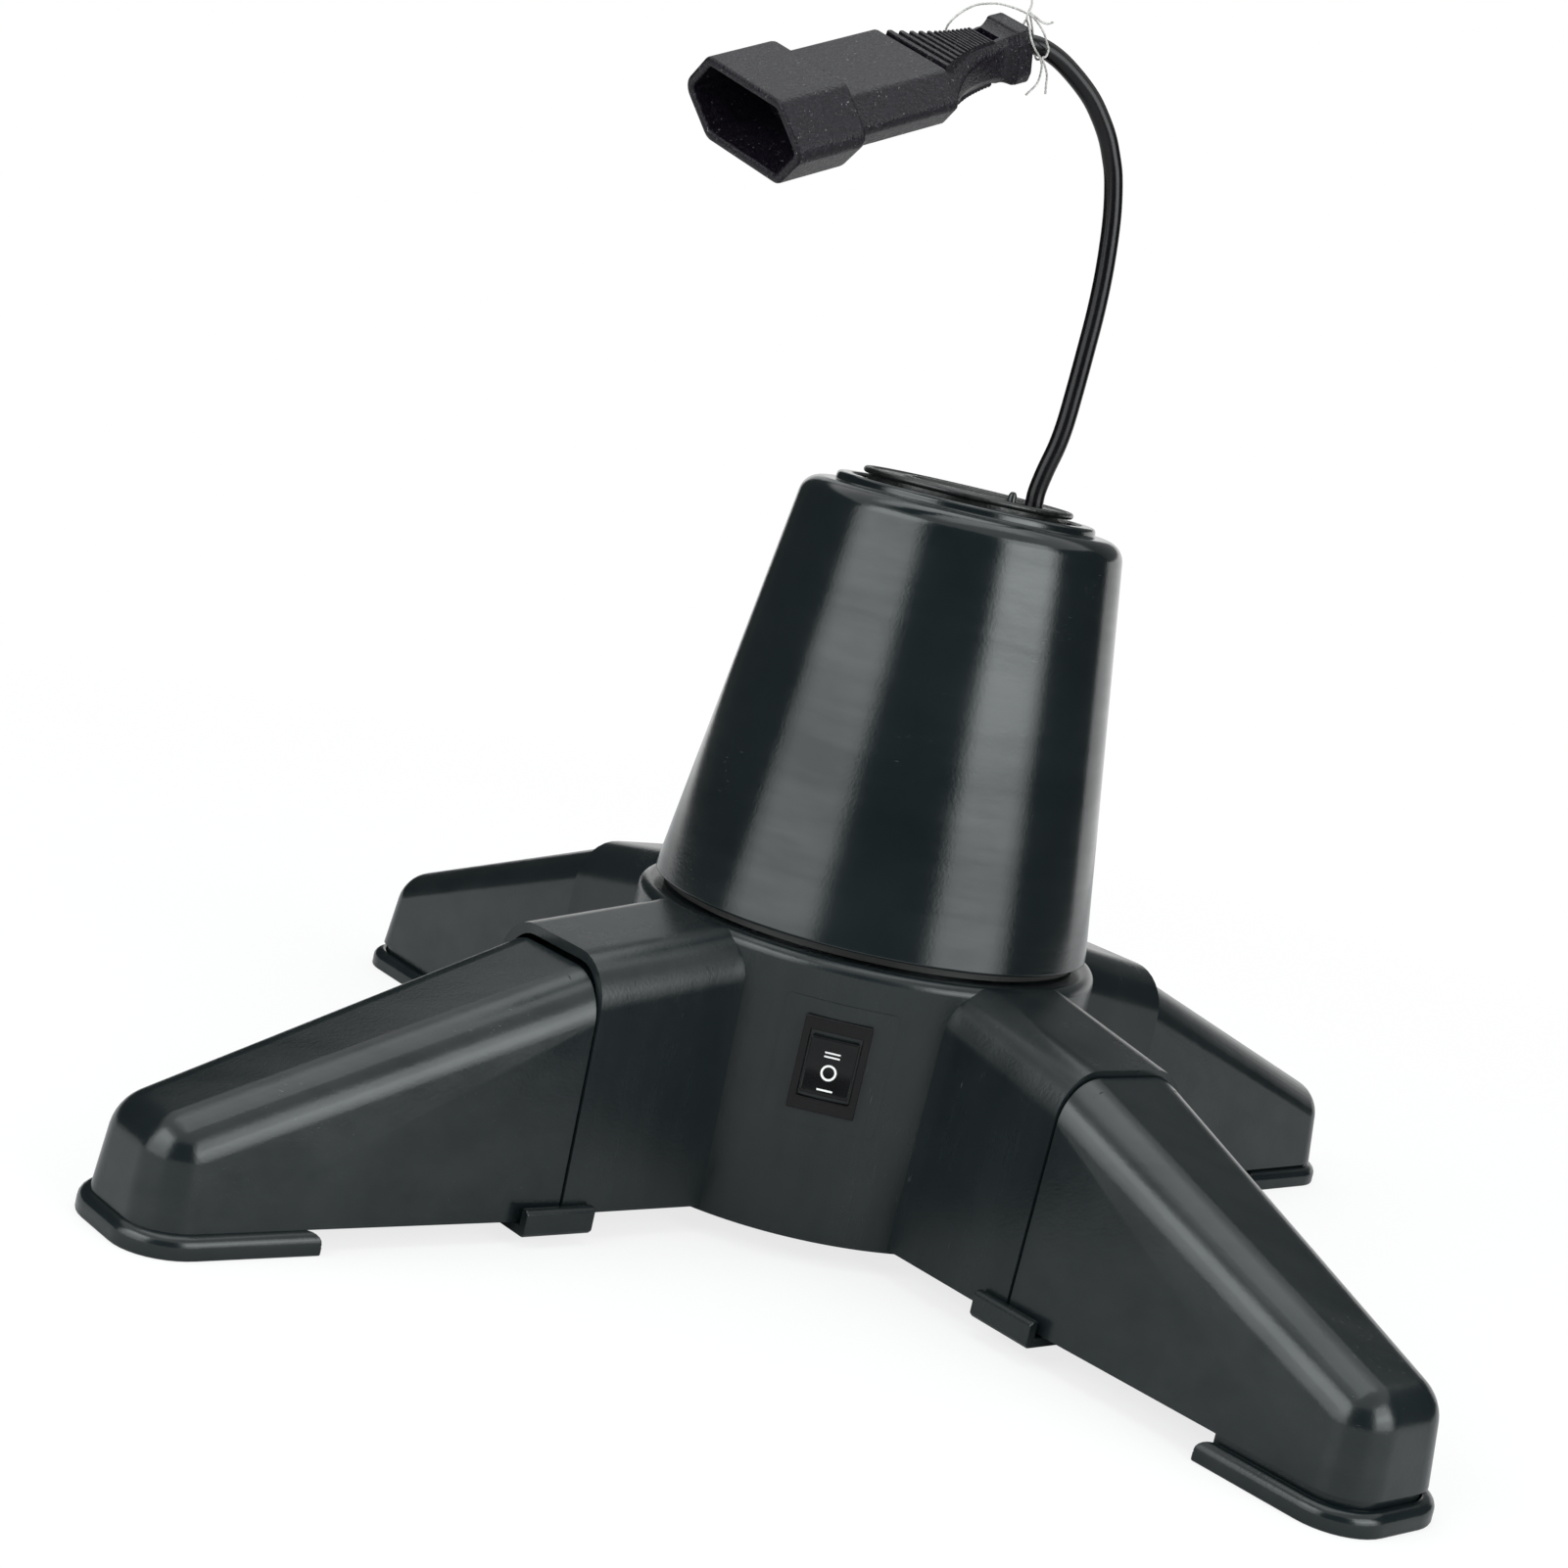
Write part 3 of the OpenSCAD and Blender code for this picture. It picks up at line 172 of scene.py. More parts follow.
flex_d = 4.2
flex_route = [
    (15.2, -10, 171.5), (15.2, -10, 174.5), (16, -10, 179.5), (17.2, -9.9, 185),
    (17.9, -9.8, 190.4), (18.3, -9.6, 198.1), (18.6, -9.4, 207.1), (18.8, -9.3, 216.1),
    (18.6, -9.4, 224.9), (17.9, -9.6, 233.6), (17, -9.9, 240), (15.6, -10.4, 246.2),
    (14.1, -10.9, 250.2), (12.3, -11.6, 254), (9.8, -12.5, 257.7), (6.8, -13.6, 261.2),
    (2.8, -15.1, 264.4), (-1.8, -16.9, 267.2), (-6.2, -18.9, 268.6), (-9.6, -20.8, 268.3),
    (-12.5, -23.3, 266.3), (-13.8, -24.5, 265.4),
]


def smooth_route(points, parts=6):
    """Points of a smooth curve through the given ones, and its length."""
    p = [Vector(q) * MM for q in points]
    p = [2 * p[0] - p[1]] + p + [2 * p[-1] - p[-2]]
    route = []
    for a, b, c, d in zip(p, p[1:], p[2:], p[3:]):
        for k in range(parts):
            t = k / parts
            route.append(
                0.5 * (2 * b + (c - a) * t + (2 * a - 5 * b + 4 * c - d) * t * t
                       + (3 * b - a - 3 * c + d) * t ** 3)
            )
    route.append(p[-2])
    return route, sum((b - a).length for a, b in zip(route, route[1:]))


flex_points, flex_length = smooth_route(flex_route, 5)
curve = bpy.data.curves.new("lead_flex_outside", "CURVE")
curve.dimensions = "3D"
curve.bevel_depth = flex_d / 2 * MM
curve.bevel_resolution = 8
curve.use_fill_caps = True
spline = curve.splines.new("POLY")
spline.points.add(len(flex_points) - 1)
for point, at in zip(spline.points, flex_points):
    point.co = (*at, 1)
spline.use_smooth = True
flex = bpy.data.objects.new("flex_to_connector", curve)
bpy.context.scene.collection.objects.link(flex)
flex_skin = grained("black_flex_pvc", (0.0018, 0.0016, 0.0022), (0.0045, 0.0041, 0.0052),
                    (0.20, 0.28), 1400, 60, 0.06, specular=0.26)
curve.materials.append(flex_skin)
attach(flex, "drum")
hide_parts("lead_flex")

# ---------------------------------------------------------------- two-pin connector
# Soft black moulding with a fine pebble grain: a six-sided shroud round a deep mouth,
# a flatter grip, a neck ribbed above and below, and a collar that the flex leaves.


def select(kind, test):
    """In edit mode, selects just the faces, edges or vertices that pass the test."""
    bpy.ops.mesh.select_mode(type=kind)
    bpy.ops.mesh.select_all(action="DESELECT")
    mesh = bmesh.from_edit_mesh(bpy.context.object.data)
    parts = {"FACE": mesh.faces, "EDGE": mesh.edges, "VERT": mesh.verts}[kind]
    for part in [part for part in parts if test(part)]:
        part.select_set(True)
    mesh.select_flush_mode()
    bmesh.update_edit_mesh(bpy.context.object.data)


def edit():
    """Into edit mode."""
    bpy.ops.object.mode_set(mode="EDIT")


def leave():
    """Back to object mode."""
    bpy.ops.object.mode_set(mode="OBJECT")


def outline_mesh(name, points, closed):
    """Starts a mesh from one vertex and draws it along the points, in millimetres."""
    bpy.ops.object.select_all(action="DESELECT")
    bpy.ops.mesh.primitive_plane_add(size=0.001)
    piece = bpy.context.object
    piece.name = name
    edit()
    bpy.ops.mesh.select_mode(type="VERT")
    bpy.ops.mesh.select_all(action="SELECT")
    bpy.ops.mesh.merge(type="CENTER")
    bpy.ops.transform.translate(value=Vector(points[0]) * MM)
    path = points + points[:1] if closed else points
    for a, b in zip(path, path[1:]):
        bpy.ops.mesh.extrude_vertices_move(
            TRANSFORM_OT_translate={"value": (Vector(b) - Vector(a)) * MM}
        )
    bpy.ops.mesh.select_all(action="SELECT")
    bpy.ops.mesh.remove_doubles(threshold=1e-6)
    return piece


def drawn(name, outline, low, high, along="X"):
    """A closed flat outline pulled out along one axis, from low to high."""
    axis = "XYZ".index(along)
    spots = [list(p[:axis]) + [low] + list(p[axis:]) for p in outline]
    piece = outline_mesh(name, spots, True)
    bpy.ops.mesh.edge_face_add()
    pull = [0, 0, 0]
    pull[axis] = (high - low) * MM
    bpy.ops.mesh.extrude_region_move(TRANSFORM_OT_translate={"value": pull})
    bpy.ops.mesh.select_all(action="SELECT")
    bpy.ops.mesh.normals_make_consistent(inside=False)
    leave()
    return piece


def rounded(corners, radii, steps=5):
    """Points of a closed outline whose corners have these radii; 0 leaves one sharp."""
    points = []
    for i, corner in enumerate(corners):
        here = Vector(corner)
        back = (Vector(corners[i - 1]) - here).normalized()
        on = (Vector(corners[(i + 1) % len(corners)]) - here).normalized()
        r = radii[i] if hasattr(radii, "__len__") else radii
        if not r:
            points.append(tuple(corner))
            continue
        half = back.angle(on) / 2
        centre = here + (back + on).normalized() * r / math.sin(half)
        first, last = (here + way * r / math.tan(half) - centre for way in (back, on))
        turn = first.angle(last)
        if first.cross(last) < 0:
            turn = -turn
        for k in range(steps + 1):
            a = turn * k / steps
            points.append((
                centre.x + first.x * math.cos(a) - first.y * math.sin(a),
                centre.y + first.x * math.sin(a) + first.y * math.cos(a),
            ))
    return points


def oblong(left, right, low, high):
    """The corners of a rectangle."""
    return [(left, low), (right, low), (right, high), (left, high)]


def apply(piece, kind, **settings):
    """Adds a modifier and applies it at once."""
    modifier = piece.modifiers.new("shape", kind)
    for name, value in settings.items():
        setattr(modifier, name, value)
    bpy.context.view_layer.objects.active = piece
    bpy.ops.object.modifier_apply(modifier=modifier.name)


def cut(piece, tool, how="DIFFERENCE"):
    """Cuts, joins or crosses a piece with a tool, which is then thrown away."""
    apply(piece, "BOOLEAN", object=tool, operation=how, solver="EXACT")
    bpy.data.objects.remove(tool)


def soften(piece, width, segments=2, angle=35):
    """Rounds the edges that turn by more than the angle."""
    apply(piece, "BEVEL", width=width * MM, segments=segments, limit_method="ANGLE",
          angle_limit=math.radians(angle), use_clamp_overlap=True)


def pin(name, r, low, high, at=(0, 0), steps=32):
    """A round pin along X, from low to high, at (y, z)."""
    outline = [(at[0] + r * math.cos(a), at[1] + r * math.sin(a))
               for a in (2 * math.pi * k / steps for k in range(steps))]
    return drawn(name, outline, low, high)


def join(pieces):
    """Joins pieces into the first one."""
    bpy.ops.object.select_all(action="DESELECT")
    for piece in pieces:
        piece.select_set(True)
    bpy.context.view_layer.objects.active = pieces[0]
    bpy.ops.object.join()
    return pieces[0]


def settle(piece, matrix=None):
    """Puts a piece in its place, and the place into its mesh."""
    bpy.ops.object.select_all(action="DESELECT")
    piece.select_set(True)
    bpy.context.view_layer.objects.active = piece
    if matrix:
        piece.matrix_world = matrix
    bpy.ops.object.transform_apply(location=True, rotation=True, scale=True)


def dress(piece, material, body, nodes=(), angle=32):
    """Gives a finished piece its material, its body and the nodes it replaces."""
    piece.data.materials.clear()
    piece.data.materials.append(material)
    bpy.ops.object.select_all(action="DESELECT")
    piece.select_set(True)
    bpy.context.view_layer.objects.active = piece
    bpy.ops.object.shade_smooth_by_angle(angle=math.radians(angle))
    apply(piece, "WEIGHTED_NORMAL", mode="FACE_AREA_WITH_ANGLE", weight=90, keep_sharp=True)
    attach(piece, body)
    if nodes:
        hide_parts(*nodes)


# places along the connector's own X, in millimetres from the mouth's rim
shroud_l, recess_l, grip_end, neck_end = 17.6, 16.1, 43.3, 66.6
slot_from, slot_to, flare_from, collar_from, collar_to = 63, 65, 65.2, 68.2, 72.6
shroud_wall, mouth_draft = 2.1, (1, 0.975, 0.96)
contact_y, contact_r, slot_half = 9.5, 2.45, 3.1
mouth_at = (-60.6, -65.5, 234.9)


def six_sided(half_w, half_flat, half_t, flat_r, side_r):
    """A flattened hexagon with its points at the sides, and its corners rounded."""
    corners = [(half_w, 0), (half_flat, half_t), (-half_flat, half_t), (-half_w, 0),
               (-half_flat, -half_t), (half_flat, -half_t)]
    return rounded(corners, [side_r, flat_r, flat_r, side_r, flat_r, flat_r], 6)


connector = drawn("connector", six_sided(20.8, 12.4, 9.1, 3.2, 3.2), 0, shroud_l)
edit()
# its shoulder towards the grip is rounded, its mouth sunk with a little draft, and the rim
# of the mouth rounded outside and inside
select("FACE", lambda f: f.normal.x > 0.9)
bpy.ops.mesh.bevel(offset=1.7 * MM, segments=4, affect="EDGES")
select("FACE", lambda f: f.normal.x < -0.9)
bpy.ops.mesh.inset(thickness=shroud_wall * MM)
bpy.ops.mesh.extrude_region_move(TRANSFORM_OT_translate={"value": (recess_l * MM, 0, 0)})
bpy.ops.transform.resize(value=mouth_draft, center_override=(0, 0, 0))
select("EDGE", lambda e: all(v.co.x < 1e-5 for v in e.verts)
       and len({round(f.normal.x, 1) for f in e.link_faces}) > 1)
bpy.ops.mesh.bevel(offset=0.75 * MM, segments=4, affect="EDGES")
leave()
grip = drawn("grip", six_sided(17.2, 12.1, 6.1, 2.6, 2.4), shroud_l - 1, grip_end)
soften(grip, 0.5, 2, 50)
connector = join([connector, grip])
for y in (-contact_y, contact_y):
    cut(connector, pin("contact_hole", contact_r, recess_l - 2, recess_l + 0.9, (y, 0)))


def neck_half(share):
    """Half width of the neck, from the grip, share 0, to its narrow end, share 1."""
    return 4.9 + 11.7 * (1 - share) ** 2.3


def flat_half(share):
    """Half width of the neck's flats, above and below."""
    return neck_half(share) * (0.66 + 0.16 * share)


# the neck narrows from the grip and flares again into the collar, from section to section;
# it starts and ends a little inside its neighbours
neck = None
neck_from, neck_to = grip_end - 0.3, collar_from + 0.3
stations = [neck_from + 1.65 * k for k in range(14)]
stations += [flare_from + (neck_to - flare_from) * k / 6 for k in range(7)]
for x in stations:
    share = min(1, (x - neck_from) / (neck_end + 1.0 - grip_end))
    flare = max(0, (x - flare_from) / (neck_to - flare_from)) ** 1.6
    w, flat = neck_half(share) + 1.3 * flare, flat_half(share) + 1.2 * flare
    t, blunt = 5.0 - 0.5 * share + 1.1 * flare, 1.0 + 2.6 * share
    if x > slot_from:
        t += 0.45
    section = [(w, blunt), (flat, t), (-flat, t), (-w, blunt), (-w, -blunt), (-flat, -t),
               (flat, -t), (w, -blunt)]
    if neck is None:
        neck = outline_mesh("neck", [(x, y, z) for y, z in section], True)
        bpy.ops.mesh.edge_face_add()
    else:
        bpy.ops.mesh.extrude_region_move()
        mesh = bmesh.from_edit_mesh(neck.data)
        for v in [v for v in mesh.verts if v.select]:
            here = (v.co.y / MM, v.co.z / MM)
            y, z = min(zip(last, section), key=lambda pair: math.dist(pair[0], here))[1]
            v.co = Vector((x, y, z)) * MM
        bmesh.update_edit_mesh(neck.data)
    last = section
bpy.ops.mesh.select_all(action="SELECT")
bpy.ops.mesh.normals_make_consistent(inside=False)
leave()
soften(neck, 0.5, 2, 30)
cut(neck, drawn("slot", oblong(slot_from, slot_to, -slot_half, slot_half), 3, 9, "Z"))
# five coarse ribs and then fine ones, across the flats above and below
rib_starts = [44.6, 46.9, 48.9, 50.7, 52.5] + [54.0 + k for k in range(10)]
for at, on in zip(rib_starts, rib_starts[1:]):
    pitch, share = on - at, (at - grip_end) / (neck_end - grip_end)
    w, top, deep = flat_half(share), 6.0 - 0.95 * share, 0.1 + 0.28 * pitch
    tooth = [(at, 3), (at, top - deep), (at + 0.12 * pitch, top - 0.12 * deep),
             (at + 0.30 * pitch, top), (at + 0.62 * pitch, top - 0.22 * deep), (on, top - deep),
             (on, 3)]
    tooth += [(x, -z) for x, z in reversed(tooth)]
    neck = join([neck, drawn("rib", tooth, -w, w, "Y")])
corners = [(6.3, 3.6), (5.3, 6.3), (-5.3, 6.3), (-6.3, 3.6), (-6.3, -3.4), (-5.3, -5.9),
           (5.3, -5.9), (6.3, -3.4)]
collar = drawn("collar", rounded(corners, 1.0, 3), collar_from, collar_to)
soften(collar, 0.7, 3, 50)
connector = join([connector, neck, collar])
# it hangs with its mouth low and towards the camera
roll, pitch, yaw = (math.radians(a) for a in (18.1, -26.1, 41.3))
settle(connector, Matrix.Translation(Vector(mouth_at) * MM)
       @ (Matrix.Rotation(yaw, 4, "Z") @ Matrix.Rotation(pitch, 4, "Y")
          @ Matrix.Rotation(roll, 4, "X")))
dress(connector,
      grained("black_pebbled_moulding", (0.0020, 0.0012, 0.0030), (0.0080, 0.0060, 0.0105),
              (0.30, 0.44), 1500, 900, 0.7, specular=0.24, specks=0.7),
      "drum", ["connector_body"], 38)

# ---------------------------------------------------------------- white thread
# Two-ply white cotton thread that holds the connector up from above: one length from the
# flex up to a small eye, one tied round the flex with two tails, one round the neck.


def thread(name, points, diameter, lay_length=1.9):
    """Two plies twisted along a smooth route, as one tube; returns it and its route."""
    route, length = smooth_route(points, 8)
    sides, plies, run, mesh = 14, [], 0, bmesh.new()
    up = Vector((0.3, -0.9, 0.2))
    for i, at in enumerate(route):
        ahead = (route[min(i + 1, len(route) - 1)] - route[max(i - 1, 0)]).normalized()
        up = (up - ahead * up.dot(ahead)).normalized()
        across = ahead.cross(up)
        if i:
            run += (at - route[i - 1]).length
        spin = 2 * math.pi * run / (lay_length * MM)
        plies.append([])
        for k in range(sides):
            a = 2 * math.pi * k / sides
            r = diameter * MM / 2 * (0.70 + 0.30 * abs(math.cos(a)))
            plies[-1].append(mesh.verts.new(
                at + r * (math.cos(a + spin) * up + math.sin(a + spin) * across)
            ))
    for a, b in zip(plies, plies[1:]):
        for k in range(sides):
            mesh.faces.new((a[k], b[k], b[(k + 1) % sides], a[(k + 1) % sides]))
    mesh.faces.new(plies[0])
    mesh.faces.new(reversed(plies[-1]))
    bmesh.ops.recalc_face_normals(mesh, faces=mesh.faces)
    made = bpy.data.meshes.new(name)
    mesh.to_mesh(made)
    mesh.free()
    piece = bpy.data.objects.new(name, made)
    bpy.context.scene.collection.objects.link(piece)
    return piece, route, length


# The thread is white cotton, but its colour is painted down to a grey (0.30 to 0.60) as painted
# shade, so it shows shaded against the white table.
cotton_with_painted_shade = grained("white_cotton_thread_painted_shade", (0.30, 0.30, 0.28), (0.60, 0.59, 0.56), (0.8, 0.95),
                 2600, 500, 0.5)
thread_d = 0.55
up_route = [(-5.7, -22.5, 265.6), (-6.8, -17.3, 266.2), (-7.7, -14, 268.2), (-8.5, -13.7, 270.6),
            (-9.2, -16.4, 272.6), (-9.9, -20.8, 274), (-10.5, -21.6, 275), (-10.3, -21.5, 275.9),
            (-10.4, -21.3, 277.6), (-12, -20.6, 283.6), (-13.3, -20.1, 287), (-12.2, -20.2, 290.5),
            (-13.6, -20.2, 293), (-15.6, -20.1, 291.4), (-14.2, -20.4, 287.4)]
tie_route = [(-4.8, -22.3, 273.9), (-5.9, -21.9, 273.4), (-7.2, -22.4, 273.4), (-9, -23.3, 274.1),
             (-10.4, -23.2, 274.6), (-10.4, -25, 272.8), (-9.2, -30.9, 270.3), (-8.2, -31.2, 268),
             (-7.2, -27.9, 266.8), (-6, -23.4, 266), (-5.2, -21.1, 264.8), (-5, -21.4, 262.9),
             (-5.3, -22.2, 260.4), (-7, -23.6, 257.5)]
loop_route = [(-3, -21.4, 258.9), (-3.3, -21.2, 260.8), (-3.6, -20.9, 262.9), (-4.6, -21.1, 264.9),
              (-5.4, -22.4, 266), (-4.7, -21.8, 266.6), (-4.5, -21.6, 268.1), (-5, -22.5, 269.1),
              (-6.1, -22.7, 271), (-7.7, -23, 272.7), (-9.4, -23.3, 273.9), (-10.7, -23.2, 274.3),
              (-13.6, -22.6, 274.9), (-17, -22.1, 275.1), (-19.8, -22.2, 274.5),
              (-21.9, -22.3, 273.7), (-23.6, -22.9, 272.4), (-24.9, -23.6, 271),
              (-26.1, -24.4, 269.3), (-27, -24.2, 267.2), (-26.7, -20.4, 265.1),
              (-24.3, -14.6, 263.4), (-20.4, -8.5, 264.1), (-16.2, -7.2, 266.3),
              (-13.1, -11.8, 269.4), (-11.5, -19.6, 271.4), (-10.6, -21.9, 273.4)]
for name, points in (("thread_up", up_route), ("thread_tie", tie_route),
                     ("thread_round_neck", loop_route)):
    piece, route, length = thread(name, points, thread_d)
    settle(piece)
    dress(piece, cotton_with_painted_shade, "drum",
          ["hanging_thread"] if name == "thread_up" else (), 60)

# ---------------------------------------------------------------- drum
# Tapered drum of glossy dark green plastic, moulded in one with its raised top ring;
# it is screwed to the turntable from below and stands just clear of the hub's deck.


def turned(name, outline, steps=160):
    """A closed outline of (radius, height) spun round the upright axis, as on a lathe."""
    piece = outline_mesh(name, [(r, 0, z) for r, z in outline], True)
    bpy.ops.mesh.spin(steps=steps, angle=2 * math.pi, center=(0, 0, 0), axis=(0, 0, 1))
    bpy.ops.mesh.select_all(action="SELECT")
    bpy.ops.mesh.remove_doubles(threshold=1e-6)
    bpy.ops.mesh.normals_make_consistent(inside=False)
    leave()
    return piece


# Polished moulding: streaks run along one direction, blotches and faint stains lie over
# them, and short pale scratches cross here and there.
polish, p_in, p_out = new_effect(
    "moulded_polish",
    [
        ("Vector", "Vector", None),
        ("Streaked", "Vector", None),
        ("Dark", "Color", (0.007, 0.014, 0.012, 1)),
        ("Light", "Color", (0.010, 0.019, 0.016, 1)),
        ("Gloss", "Float", 0.27),
        ("Haze", "Float", 0.12),
        ("Scratches", "Float", 0.5),
        ("Film", "Float", 0.4),
    ],
    [("Color", "Color"), ("Roughness", "Float"), ("Height", "Float"), ("Film", "Float")],
)
p_streak = add_node(polish, "TexNoise", Scale=1.0, Detail=5.0, Roughness=0.65)
p_cloud = add_node(polish, "TexNoise", Scale=26.0, Detail=5.0, Roughness=0.6)
p_tone = add_node(polish, "MapRange", From_Min=0.32, From_Max=0.68)
p_color = add_node(polish, "Mix", {"data_type": "RGBA"})
p_sum = add_node(polish, "Math", {"operation": "ADD"})
p_part = add_node(polish, "Math", {"operation": "MULTIPLY"})
p_part.inputs[1].default_value = 0.6
p_span = add_node(polish, "MapRange", From_Min=0.5, From_Max=1.15, To_Min=-0.5, To_Max=0.9)
p_add = add_node(polish, "Math", {"operation": "MULTIPLY_ADD"})
p_film = add_node(polish, "MapRange", From_Min=0.66, From_Max=0.94)
p_clear = add_node(polish, "Math", {"operation": "MULTIPLY"})
p_dash = add_node(polish, "TexNoise", Scale=34.0, Detail=0.0)
p_line = add_node(polish, "MapRange", From_Min=0.79, From_Max=0.88)
p_fine = add_node(polish, "TexNoise", Scale=1300.0, Detail=2.0, Roughness=0.6)
p_both = add_node(polish, "Math", {"operation": "MULTIPLY_ADD"})
p_both.inputs[1].default_value = 0.8
p_few = add_node(polish, "TexNoise", Scale=38.0, Detail=2.0)
p_where = add_node(polish, "MapRange", From_Min=0.54, From_Max=0.70)
p_mark = add_node(polish, "Math", {"operation": "MULTIPLY"})
p_much = add_node(polish, "Math", {"operation": "MULTIPLY"})
p_pale = add_node(polish, "Mix", {"data_type": "RGBA"}, B=(0.07, 0.08, 0.08, 1))
p_height = add_node(polish, "Math", {"operation": "MULTIPLY_ADD"})
p_height.inputs[1].default_value = -0.5
wire(
    polish,
    (p_in, "Streaked", p_streak, "Vector"),
    (p_in, "Vector", p_cloud, "Vector"),
    (p_cloud, "Fac", p_part, 0),
    (p_part, "Value", p_sum, 0),
    (p_streak, "Fac", p_sum, 1),
    (p_sum, "Value", p_span, "Value"),
    (p_span, "Result", p_add, 0),
    (p_sum, "Value", p_film, "Value"),
    (p_film, "Result", p_clear, 0),
    (p_in, "Film", p_clear, 1),
    (p_clear, "Value", p_out, "Film"),
    (p_in, "Haze", p_add, 1),
    (p_in, "Gloss", p_add, 2),
    (p_cloud, "Fac", p_tone, "Value"),
    (p_tone, "Result", p_color, "Factor"),
    (p_in, "Dark", p_color, "A"),
    (p_in, "Light", p_color, "B"),
    (p_in, "Streaked", p_dash, "Vector"),
    (p_dash, "Fac", p_line, "Value"),
    (p_in, "Vector", p_fine, "Vector"),
    (p_fine, "Fac", p_both, 0),
    (p_streak, "Fac", p_both, 2),
    (p_in, "Vector", p_few, "Vector"),
    (p_few, "Fac", p_where, "Value"),
    (p_line, "Result", p_mark, 0),
    (p_where, "Result", p_mark, 1),
    (p_mark, "Value", p_much, 0),
    (p_in, "Scratches", p_much, 1),
    (p_much, "Value", p_pale, "Factor"),
    (p_color, "Result", p_pale, "A"),
    (p_pale, "Result", p_out, "Color"),
    (p_add, "Value", p_out, "Roughness"),
    (p_much, "Value", p_height, 0),
    (p_both, "Value", p_height, 2),
    (p_height, "Value", p_out, "Height"),
)


def polished(name, dark, light, gloss, haze, streaks, turn=0.0, bump=0.05, scratches=0.4,
             specular=0.37, film=0.15):
    """Dark green moulding with its streaks stretched along one way, turned round Z."""
    material, tree, shader, place = new_finish(name, gloss)
    shader.inputs["Specular IOR Level"].default_value = specular
    shader.inputs["Coat Roughness"].default_value = gloss
    stretch = add_node(tree, "Mapping", Rotation=(0, 0, turn), Scale=streaks)
    effect = add_node(tree, "Group", {"node_tree": polish}, Dark=(*dark, 1), Light=(*light, 1),
                      Gloss=gloss, Haze=haze, Scratches=scratches, Film=film)
    relief = add_node(tree, "Bump", Strength=bump, Distance=0.0006)
    wire(
        tree,
        (place, "Object", stretch, "Vector"),
        (place, "Object", effect, "Vector"),
        (stretch, "Vector", effect, "Streaked"),
        (effect, "Color", shader, "Base Color"),
        (effect, "Roughness", shader, "Roughness"),
        (effect, "Height", relief, "Height"),
        (effect, "Film", shader, "Coat Weight"),
        (relief, "Normal", shader, "Normal"),
    )
    return material


def arc(r, z, radius, start, end, steps=8):
    """Points of (radius, height) on an arc round r, z."""
    return [(r + radius * math.cos(math.radians(start + (end - start) * k / steps)),
             z + radius * math.sin(math.radians(start + (end - start) * k / steps)))
            for k in range(steps + 1)]


green_dark, green_light = (0.0054, 0.0084, 0.0092), (0.0080, 0.0120, 0.0130)
drum_z, drum_top, step_top = 69.8, 166.8, 168.8
drum_line = (
    [(49.5, drum_z), (51.3, drum_z)]
    + arc(51.25, drum_z + 0.5, 0.5, -60, 8.3, 3)
    + arc(33.33, drum_top - 5, 5, 8.3, 90, 10)
    + arc(31.2, drum_top + 0.5, 0.5, -90, -180, 3)
    + arc(29.7, step_top - 0.9, 0.9, 0, 90, 5)
    + [(27.6, step_top), (27.0, step_top - 0.5), (27.0, 167.2), (22.3, 167.2), (22.3, 164.5),
       (32.9, 164.5)]
    + arc(32.3, 161.9, 2.6, 90, 8.3, 4)
)
drum = turned("drum", drum_line, 200)
dress(drum,
      polished("dark_green_drum", green_dark, green_light, 0.15, 0.07, (14, 14, 120), bump=0.05,
               scratches=0.8, specular=0.38, film=0.28),
      "drum", ["drum_shell"])

# ---------------------------------------------------------------- cap
# Black disc with a rolled rim, pressed into the drum's top: the pole's hole in the
# middle, the flex's hole beside it, and a small pip left by the mould.
cap_line = (
    [(14.3, 159.8), (22.2, 159.8), (22.2, 167.2), (23.6, 167.2), (23.6, 169.55), (24.0, 169.6)]
    + arc(24.05, 170.35, 0.75, -70, 90, 8)
    + [(23.3, 171.0), (22.9, 170.7), (15.9, 170.7), (15.4, 171.1), (13.9, 171.1)]
    + [(12.95, 169.9), (12.75, 169.3), (12.75, 168.25), (14.3, 168.25)]
)
cap = turned("cap", cap_line, 128)
flex_x, flex_y = flex_route[0][:2]
drill = pin("drill", flex_d / 2 + 0.05, 150, 180, (flex_y, flex_x))
settle(drill, Matrix.Rotation(math.radians(-90), 4, "Y"))
cut(cap, drill)
pip = turned("pip", [(0, 170.5), (1.1, 170.5), (1.0, 172.2), (0.6, 173.0), (0, 173.15)], 24)
pip_x, pip_y = 10.1, -11.3
settle(pip, Matrix.Translation((pip_x * MM, pip_y * MM, 0)))
cap = join([cap, pip])
dress(cap,
      grained("black_cap_plastic", (0.0045, 0.0055, 0.0055), (0.012, 0.013, 0.013), (0.20, 0.40),
              700, 260, 0.22),
      "drum", ["top_cap"])

# ---------------------------------------------------------------- hub with four arms
# One hollow moulding of the same green plastic: round wall and deck, four drafted arms
# with rounded ridges, and a faintly raised pad round the switch.
hub_r, hub_low, deck_z, deck_edge_r = 54.8, 5.4, 67.4, 2.5
hub_line = (
    [(52.4, hub_low), (hub_r, hub_low)]
    + arc(hub_r - deck_edge_r, deck_z - deck_edge_r, deck_edge_r, 0, 90, 8)
    + [(42.3, deck_z), (42.3, 60.0), (28.9, 60.0), (28.9, 64.5), (26.55, 64.5), (26.55, 57.6),
       (44.7, 57.6), (44.7, 64.4), (52.4, 64.4)]
)
hub = turned("hub", hub_line, 180)
wall_draft, ridge_r = 1.3, 10.5


